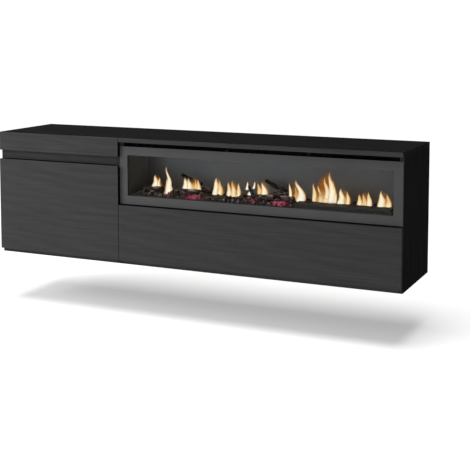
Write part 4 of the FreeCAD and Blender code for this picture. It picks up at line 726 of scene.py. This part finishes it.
def scatter_coals(mesh, layer, pick, low, high):
    """Small coals over the whole bed, one to each square of a grid, lower on the ledge."""
    for column in range(int((high.x - low.x) / COAL_PITCH)):
        for row in range(int((high.y - low.y) / COAL_PITCH)):
            size = pick.uniform(4.2, 7.4) * MM
            x = low.x + COAL_PITCH * (column + pick.uniform(0.1, 0.9))
            x = min(max(x, low.x + BARE_END), high.x - COAL_MARGIN)
            y = low.y + COAL_PITCH * (row + pick.uniform(0.2, 0.8))
            y = min(max(y, low.y + COAL_MARGIN), high.y - COAL_MARGIN)
            on_ledge = y < low.y + LEDGE_DEPTH
            z = low.z + (pick.uniform(4, 7.5) if on_ledge else pick.uniform(7, 10.5)) * MM
            stretch = (pick.uniform(0.9, 1.5), pick.uniform(0.8, 1.1), pick.uniform(0.6, 0.95))
            paint = (pick.random() ** 1.6, glow_at(x, y), pick.random() ** 4)
            lump_shape(mesh, Vector((x, y, z)), size, stretch, pick.uniform(0, 60), paint, layer)


def place_chunks(mesh, layer, pick, low):
    for x, y, rise, size in CHUNKS:
        centre = Vector((x * MM, y * MM, low.z + rise * MM))
        paint = (pick.uniform(0.1, 0.75), glow_at(centre.x, centre.y) * 0.3, pick.uniform(0.2, 0.9))
        stretch = (pick.uniform(0.9, 1.3), 0.85, pick.uniform(0.7, 1.0))
        lump_shape(mesh, centre, size * MM, stretch, pick.uniform(0, 60), paint, layer, cuts=3)


def place_hot_coals(mesh, layer, pick, low):
    """Glowing coals and ashen ones among them, heaped on each hot place."""
    for spot_x, spot_y, radius, strength in GLOW_SPOTS:
        for _ in range(round(radius / 2.5)):
            x = spot_x * MM + pick.uniform(-0.9, 0.9) * radius * MM
            y = max(spot_y * MM, low.y + HOT_COAL_MARGIN) + pick.uniform(-4, 6) * MM
            centre = Vector((x, y, low.z + pick.uniform(9, 13) * MM))
            ashen = pick.random() < 0.4
            paint = (0.9, 0.1, 1.0) if ashen else (0.5, strength * pick.uniform(0.7, 1.0), 0.3)
            stretch = (pick.uniform(1.2, 2.0), 0.8, pick.uniform(0.6, 0.9))
            lump_shape(mesh, centre, pick.uniform(3.4, 5.4) * MM, stretch, pick.uniform(0, 60), paint, layer)


def make_embers():
    """The bed: a rough tray with hundreds of coals, which run down over the low ledge at the front."""
    low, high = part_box("ember_bed")
    pick = random.Random(11)
    mesh = bmesh.new()
    layer = mesh.verts.layers.float_color.new("coal_paint")
    scatter_coals(mesh, layer, pick, low, high)
    place_chunks(mesh, layer, pick, low)
    place_hot_coals(mesh, layer, pick, low)
    finish_piece(add_object("ember_coals", mesh), ember_coal(), "cabinet", "ember_bed")
    tray = Vector((low.x, low.y + LEDGE_DEPTH, low.z)), Vector((high.x, high.y, low.z + TRAY_HEIGHT))
    ledge = low, Vector((high.x, low.y + LEDGE_DEPTH, low.z + LEDGE_HEIGHT))
    for name, (start, end) in (("ember_tray", tray), ("ember_ledge", ledge)):
        slab = granular_slab(name, start, end, pitch=6 * MM, relief=2.5 * MM)
        finish_piece(slab, burner_gravel(), "cabinet", "ember_bed")


def granular_slab(name, low, high, pitch, relief):
    """A block with a rough crushed-stone top and slightly uneven sides."""
    columns = int((high.x - low.x) / pitch)
    rows = int((high.y - low.y) / pitch)
    mesh = bmesh.new()
    top = []
    for row in range(rows + 1):
        line = []
        for column in range(columns + 1):
            x = low.x + (high.x - low.x) * column / columns
            y = low.y + (high.y - low.y) * row / rows
            dip = abs(noise.noise(Vector((x, y, 0)) * 160)) + 0.6 * abs(noise.noise(Vector((x, y, 1)) * 420))
            on_edge = column in (0, columns) or row in (0, rows)
            line.append(mesh.verts.new((x, y, high.z - relief * (dip + (0.5 if on_edge else 0)))))
        top.append(line)
    for near, far in zip(top, top[1:]):
        for column in range(columns):
            mesh.faces.new((near[column], near[column + 1], far[column + 1], far[column]))
    rim = top[0][:-1] + [line[-1] for line in top[:-1]] + top[-1][:0:-1] + [line[0] for line in top[:0:-1]]
    foot = [mesh.verts.new((vertex.co.x, vertex.co.y, low.z)) for vertex in rim]
    bridge(mesh, foot, rim)
    mesh.faces.new(foot[::-1])
    return add_object(name, mesh)


def bark_log(mesh, start, end, start_radius, end_radius, seed, rings=44, sides=30):
    """A round billet along a line, with furrowed bark, a bend of its own and broken ends."""
    way = end - start
    side = way.cross(Vector((0, 0, 1))).normalized()
    up = side.cross(way).normalized()
    loops = []
    for ring in range(rings + 1):
        share = ring / rings
        radius = start_radius + (end_radius - start_radius) * share
        sway = noise.noise(Vector((share * 2.2, seed, 0))) * radius * 0.22
        centre = start + way * share + side * sway
        loop = []
        for index in range(sides):
            angle = math.tau * index / sides
            spot = Vector((share * way.length * 60, math.cos(angle) * 1.6, math.sin(angle) * 1.6 + seed * 7))
            furrow = noise.noise(Vector((share * way.length * 26, angle * 3.4, seed * 5)))
            push = 1.02 + 0.22 * noise.noise(spot) - 0.22 * abs(furrow)
            if ring in (0, rings):
                push *= 0.86
            reach = radius * push
            point = centre + side * (math.cos(angle) * reach) + up * (math.sin(angle) * reach)
            jag = noise.noise(Vector((math.cos(angle) * 2, math.sin(angle) * 2, seed + ring))) * radius * 0.3
            if ring in (0, rings):
                point += way.normalized() * jag * (1 if ring == 0 else -1)
            loop.append(mesh.verts.new(point))
        loops.append(loop)
    for first, second in zip(loops, loops[1:]):
        bridge(mesh, first, second)
    for loop, inward in ((loops[0], 1), (loops[-1], -1)):
        centre = sum((vertex.co for vertex in loop), Vector()) / sides
        hub = mesh.verts.new(centre + way.normalized() * inward * start_radius * 0.18)
        for index in range(sides):
            following = (index + 1) % sides
            pair = (loop[following], loop[index]) if inward > 0 else (loop[index], loop[following])
            mesh.faces.new((*pair, hub))


def make_billets(node_name, piece_name, look, growth, seeds, **density):
    """Gives each solid of a CAD node its bark. Growth widens the two ends; seeds are a step and a start."""
    mesh = bmesh.new()
    for number, points in enumerate(solids_of(node_name)):
        (start, end), radii = axis_of(points)
        start_radius, end_radius = (radius * factor for radius, factor in zip(radii, growth))
        bark_log(mesh, start, end, start_radius, end_radius, number * seeds[0] + seeds[1], **density)
    finish_piece(add_object(piece_name, mesh, smooth=True), look, "cabinet", node_name)


def make_logs():
    log_bark = charred_wood("log_bark", (50, 37, 29), ridge=96, ash=0.7, glow=0.6)
    make_billets("logs", "bark_logs", log_bark, growth=(1, 1), seeds=(1.7, 0.4))
    branch_bark = charred_wood("branch_bark", (30, 28, 26), ridge=52, ash=0.1, glow=0.1)
    make_billets("branches", "bark_branches", branch_bark, growth=(1.25, 1.35), seeds=(2.3, 5),
                 rings=30, sides=18)


def make_burner():
    low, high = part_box("burner_block")
    block = granular_slab("burner_stone", low, high, pitch=3.5 * MM, relief=2.2 * MM)
    finish_piece(block, burner_gravel(), "cabinet", "burner_block")


# ---- Flames ----

# Tongues in millimetres: foot X, Y and Z, half width, height, lean of the tip, curl, heat
TONGUES = (
    (-171, -250, -143, 14, 53, 8, 0.45, 1.0), (-150, -253, -142, 8, 44, -3, -0.5, 0.75),
    (-87, -298, -154, 16, 62, -3, 0.3, 1.0), (-89, -299, -146, 9.5, 99, 4, 1.3, 0.95),
    (-44, -250, -138, 12, 44, 3, 0.3, 1.0), (-25, -253, -140, 12, 46, -2, 0.3, 0.9),
    (-3, -247, -142, 13, 44, 4, 0.3, 0.45), (14, -256, -150, 10, 56, -1, 0.3, 0.8),
    (77, -250, -153, 13, 70, 10, 0.35, 1.0), (96, -253, -153, 12, 60, 4, 0.3, 0.7),
    (133, -250, -158, 11, 61, 0, 0.3, 0.85), (152, -253, -158, 12, 67, -3, 0.3, 0.65),
    (167, -247, -158, 9, 60, 6, 0.35, 0.85),
    (203, -250, -126, 6, 34, 6, 0.3, 1.0), (229, -250, -120, 5, 30, 9, 0.3, 0.9),
    (217, -254, -143, 12, 19, 4, 0.1, 1.0),
    (252, -250, -138, 10, 43, -4, 0.3, 0.55), (273, -253, -138, 12, 46, -8, 0.3, 0.9),
    (371, -250, -150, 7, 66, -4, 0.3, 0.9), (390, -247, -153, 11, 56, 2, 0.3, 0.42),
    (412, -253, -154, 15, 80, -13, 0.75, 1.0), (402, -254, -154, 9, 34, 3, 0.2, 0.8),
    (460, -253, -149, 10, 68, -1, 0.4, 0.7), (483, -250, -150, 9, 62, -8, 0.5, 0.85),
    (503, -253, -150, 12, 92, 4, 0.9, 0.8), (522, -256, -150, 14, 113, 3, 0.75, 1.0),
    (534, -253, -150, 9, 84, -3, 0.4, 0.75),
    (555, -253, -155, 14, 62, 8, 0.45, 1.0), (580, -250, -155, 10, 55, 2, 0.35, 0.65),
    (622, -250, -158, 11, 49, 3, 0.3, 0.8), (640, -247, -158, 11, 51, -2, 0.3, 0.55),
    (657, -253, -158, 11, 59, 1, 0.3, 0.85),
    (697, -253, -155, 14, 63, 9, 0.45, 1.0), (724, -250, -155, 11, 53, -1, 0.35, 0.7),
)
# Broad low glows behind the feet of the tongues
ROOTS = (
    (-162, -246, -143, 15, 34, 0, 0.1, 0.7), (-92, -294, -154, 18, 44, 0, 0.1, 0.7),
    (-14, -243, -143, 26, 32, 2, 0.1, 0.55), (87, -243, -153, 20, 46, 0, 0.1, 0.7),
    (150, -243, -158, 25, 42, 0, 0.1, 0.6), (264, -243, -138, 19, 30, 0, 0.1, 0.6),
    (400, -243, -154, 26, 38, -2, 0.1, 0.5), (494, -243, -150, 42, 50, 0, 0.1, 0.5),
    (568, -243, -155, 22, 36, 0, 0.1, 0.6), (640, -243, -158, 28, 36, 0, 0.1, 0.6),
    (711, -243, -155, 23, 36, 0, 0.1, 0.6),
)
# Thin orange veils further behind
VEILS = (
    (-162, -240, -143, 18, 50, 0, 0.2, 0.1), (-8, -240, -143, 27, 52, 2, 0.2, 0.14),
    (88, -240, -153, 24, 66, 0, 0.1, 0.1), (150, -240, -158, 29, 68, 0, 0.2, 0.14),
    (265, -240, -138, 24, 52, 0, 0.2, 0.14), (394, -240, -154, 33, 72, -4, 0.2, 0.1),
    (478, -240, -150, 34, 92, 22, 0.1, -0.1), (488, -241, -150, 36, 110, 16, 0.1, -0.05),
    (504, -238, -150, 36, 116, 8, 0.1, 0.04), (480, -239, -150, 30, 96, 4, 0.1, 0.0),
    (567, -240, -155, 26, 58, 0, 0.1, 0.1), (640, -240, -158, 31, 58, 0, 0.1, 0.12),
    (710, -240, -155, 28, 58, 0, 0.1, 0.1),
)
# Each layer of flames, and how much it hides of what is behind it
FLAME_LAYERS = ((TONGUES, 0.88), (ROOTS, 0.55), (VEILS, 0.3))
# A tongue's depth as a share of its width, and its least half width in millimetres
FLATNESS = 0.4
TIP_WIDTH = 0.05


def tongue(mesh, layer, values, cover, seed, rings=30, sides=20):
    """One tongue of flame: a flattened closed sheath that narrows to a curling tip. Its paint holds the heat,
    which falls towards the sides and the tip, and how much it covers."""
    foot, depth, level, half, height, lean, curl, heat = values
    loops = []
    for ring in range(rings + 1):
        share = ring / rings
        taper = 1.92 * (share + 0.12) ** 0.35 * (1 - share) ** 1.1 * (1 + 0.07 * math.sin(share * 9 + seed))
        reach = max(half * taper, TIP_WIDTH)
        x = foot + lean * share ** 1.3 + curl * half * math.sin(share * 5.6) * share ** 0.8
        loop = []
        for index in range(sides):
            angle = math.tau * index / sides
            across = math.cos(angle)
            thick = math.sin(angle) * reach * FLATNESS
            point = Vector((x + across * reach, depth + thick, level + height * share))
            vertex = mesh.verts.new(point * MM)
            core = 1 - abs(across) ** 1.8
            glow = heat * (0.22 + 0.86 * core) * (1.06 - 0.68 * share ** 1.4)
            rim = (1 - abs(across) ** 2.6) ** 0.8
            fade = min(1.0, (1 - share) * 3.2) * min(1.0, 0.35 + share * 9)
            vertex[layer] = (min(glow, 1.0), cover * rim * fade, 0, 1)
            loop.append(vertex)
        loops.append(loop)
    for first, second in zip(loops, loops[1:]):
        bridge(mesh, first, second)
    mesh.faces.new(loops[0][::-1])
    mesh.faces.new(loops[-1])


def make_flames():
    mesh = bmesh.new()
    layer = mesh.verts.layers.float_color.new("tongue_paint")
    for tongues, cover in FLAME_LAYERS:
        for number, values in enumerate(tongues):
            tongue(mesh, layer, values, cover, number * 1.9)
    finish_piece(add_object("flames", mesh, smooth=True), flame_light(), "cabinet")


# ---- Small hardware on the back ----

BRAD_RADIUS = 1.6 * MM
BRAD_FLATNESS = 0.3
BRAD_PITCH = 110 * MM
BRAD_INSET = 7 * MM
BRAD_TOP_INSET = 6.3 * MM
# Opposite corners of the vent's blades, in millimetres
VENT_LOW = (112, -34, -58)
VENT_HIGH = (417, -24, 0)
VENT_BLADES = 7
VENT_FRAME = 6 * MM
# A blade's height as a share of the pitch, and the thickness of its sheet
BLADE_LAP = 1.1
SHEET = 0.8 * MM


def make_brads():
    """Brad heads that fasten the two back sheets along their edges."""
    mesh = bmesh.new()
    for name in ("back_panel_left", "back_panel_right"):
        low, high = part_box(name)
        count = max(2, round((high.x - low.x) / BRAD_PITCH))
        spots = []
        for index in range(count + 1):
            x = low.x + BRAD_INSET + (high.x - low.x - BRAD_INSET * 2) * index / count
            spots += [(x, low.z + BRAD_INSET), (x, high.z - BRAD_TOP_INSET)]
        for x, z in spots:
            head = bmesh.ops.create_uvsphere(mesh, u_segments=10, v_segments=6, radius=BRAD_RADIUS)
            for vertex in head["verts"]:
                vertex.co = Vector((x + vertex.co.x, high.y + vertex.co.y * BRAD_FLATNESS, z + vertex.co.z))
    heads = add_object("back_sheet_brads", mesh, smooth=True)
    finish_piece(heads, plated_steel("brad_steel", 140, 180, 0.35, 300), "cabinet")


def make_vent_louvre():
    """A pressed louvre over the blower's air inlet: sloping blades in a flat frame."""
    low, high = Vector(VENT_LOW) * MM, Vector(VENT_HIGH) * MM
    mesh = bmesh.new()
    pitch = (high.z - low.z) / VENT_BLADES
    for index in range(VENT_BLADES):
        foot = low.z + pitch * index
        tip = foot + pitch * BLADE_LAP
        outline = [(low.y, tip), (low.y + SHEET, tip + SHEET), (high.y, foot + SHEET), (high.y, foot)]
        prism_along_x(mesh, outline, low.x, high.x)
    left, right = low.x - VENT_FRAME, high.x + VENT_FRAME
    blades_top = high.z + VENT_FRAME
    bars = ((left, low.z - VENT_FRAME, right, low.z), (left, blades_top, right, blades_top + VENT_FRAME),
            (left, low.z, low.x, blades_top), (high.x, low.z, right, blades_top))
    front, back = low.y, low.y + SHEET
    for start, foot, end, top in bars:
        prism_along_x(mesh, [(front, foot), (back, foot), (back, top), (front, top)], start, end)
    bmesh.ops.recalc_face_normals(mesh, faces=mesh.faces)
    louvre = add_object("vent_louvre", mesh)
    finish_piece(louvre, painted_steel("louvre_paint", tone(16), 0.6), "cabinet")


def prism_along_x(mesh, outline, start, end):
    """A straight bar with the given outline in Y and Z."""
    first, last = ([mesh.verts.new((x, y, z)) for y, z in outline] for x in (start, end))
    mesh.faces.new(first)
    mesh.faces.new(last[::-1])
    bridge(mesh, last, first)


make_camera()
make_world()
make_floor()
make_sun("overhead", azimuth=-10, elevation=79, strength=3.1, spread=34)
make_softbox("front_left_softbox", place=(-2.2, -1.85, 1.0), target=(-0.4, -0.35, -0.2), size=1.5, power=64)
dress_cad_nodes()
make_embers()
make_logs()
make_burner()
make_flames()
make_brads()
make_vent_louvre()

bpy.context.scene.view_settings.view_transform = "Standard"
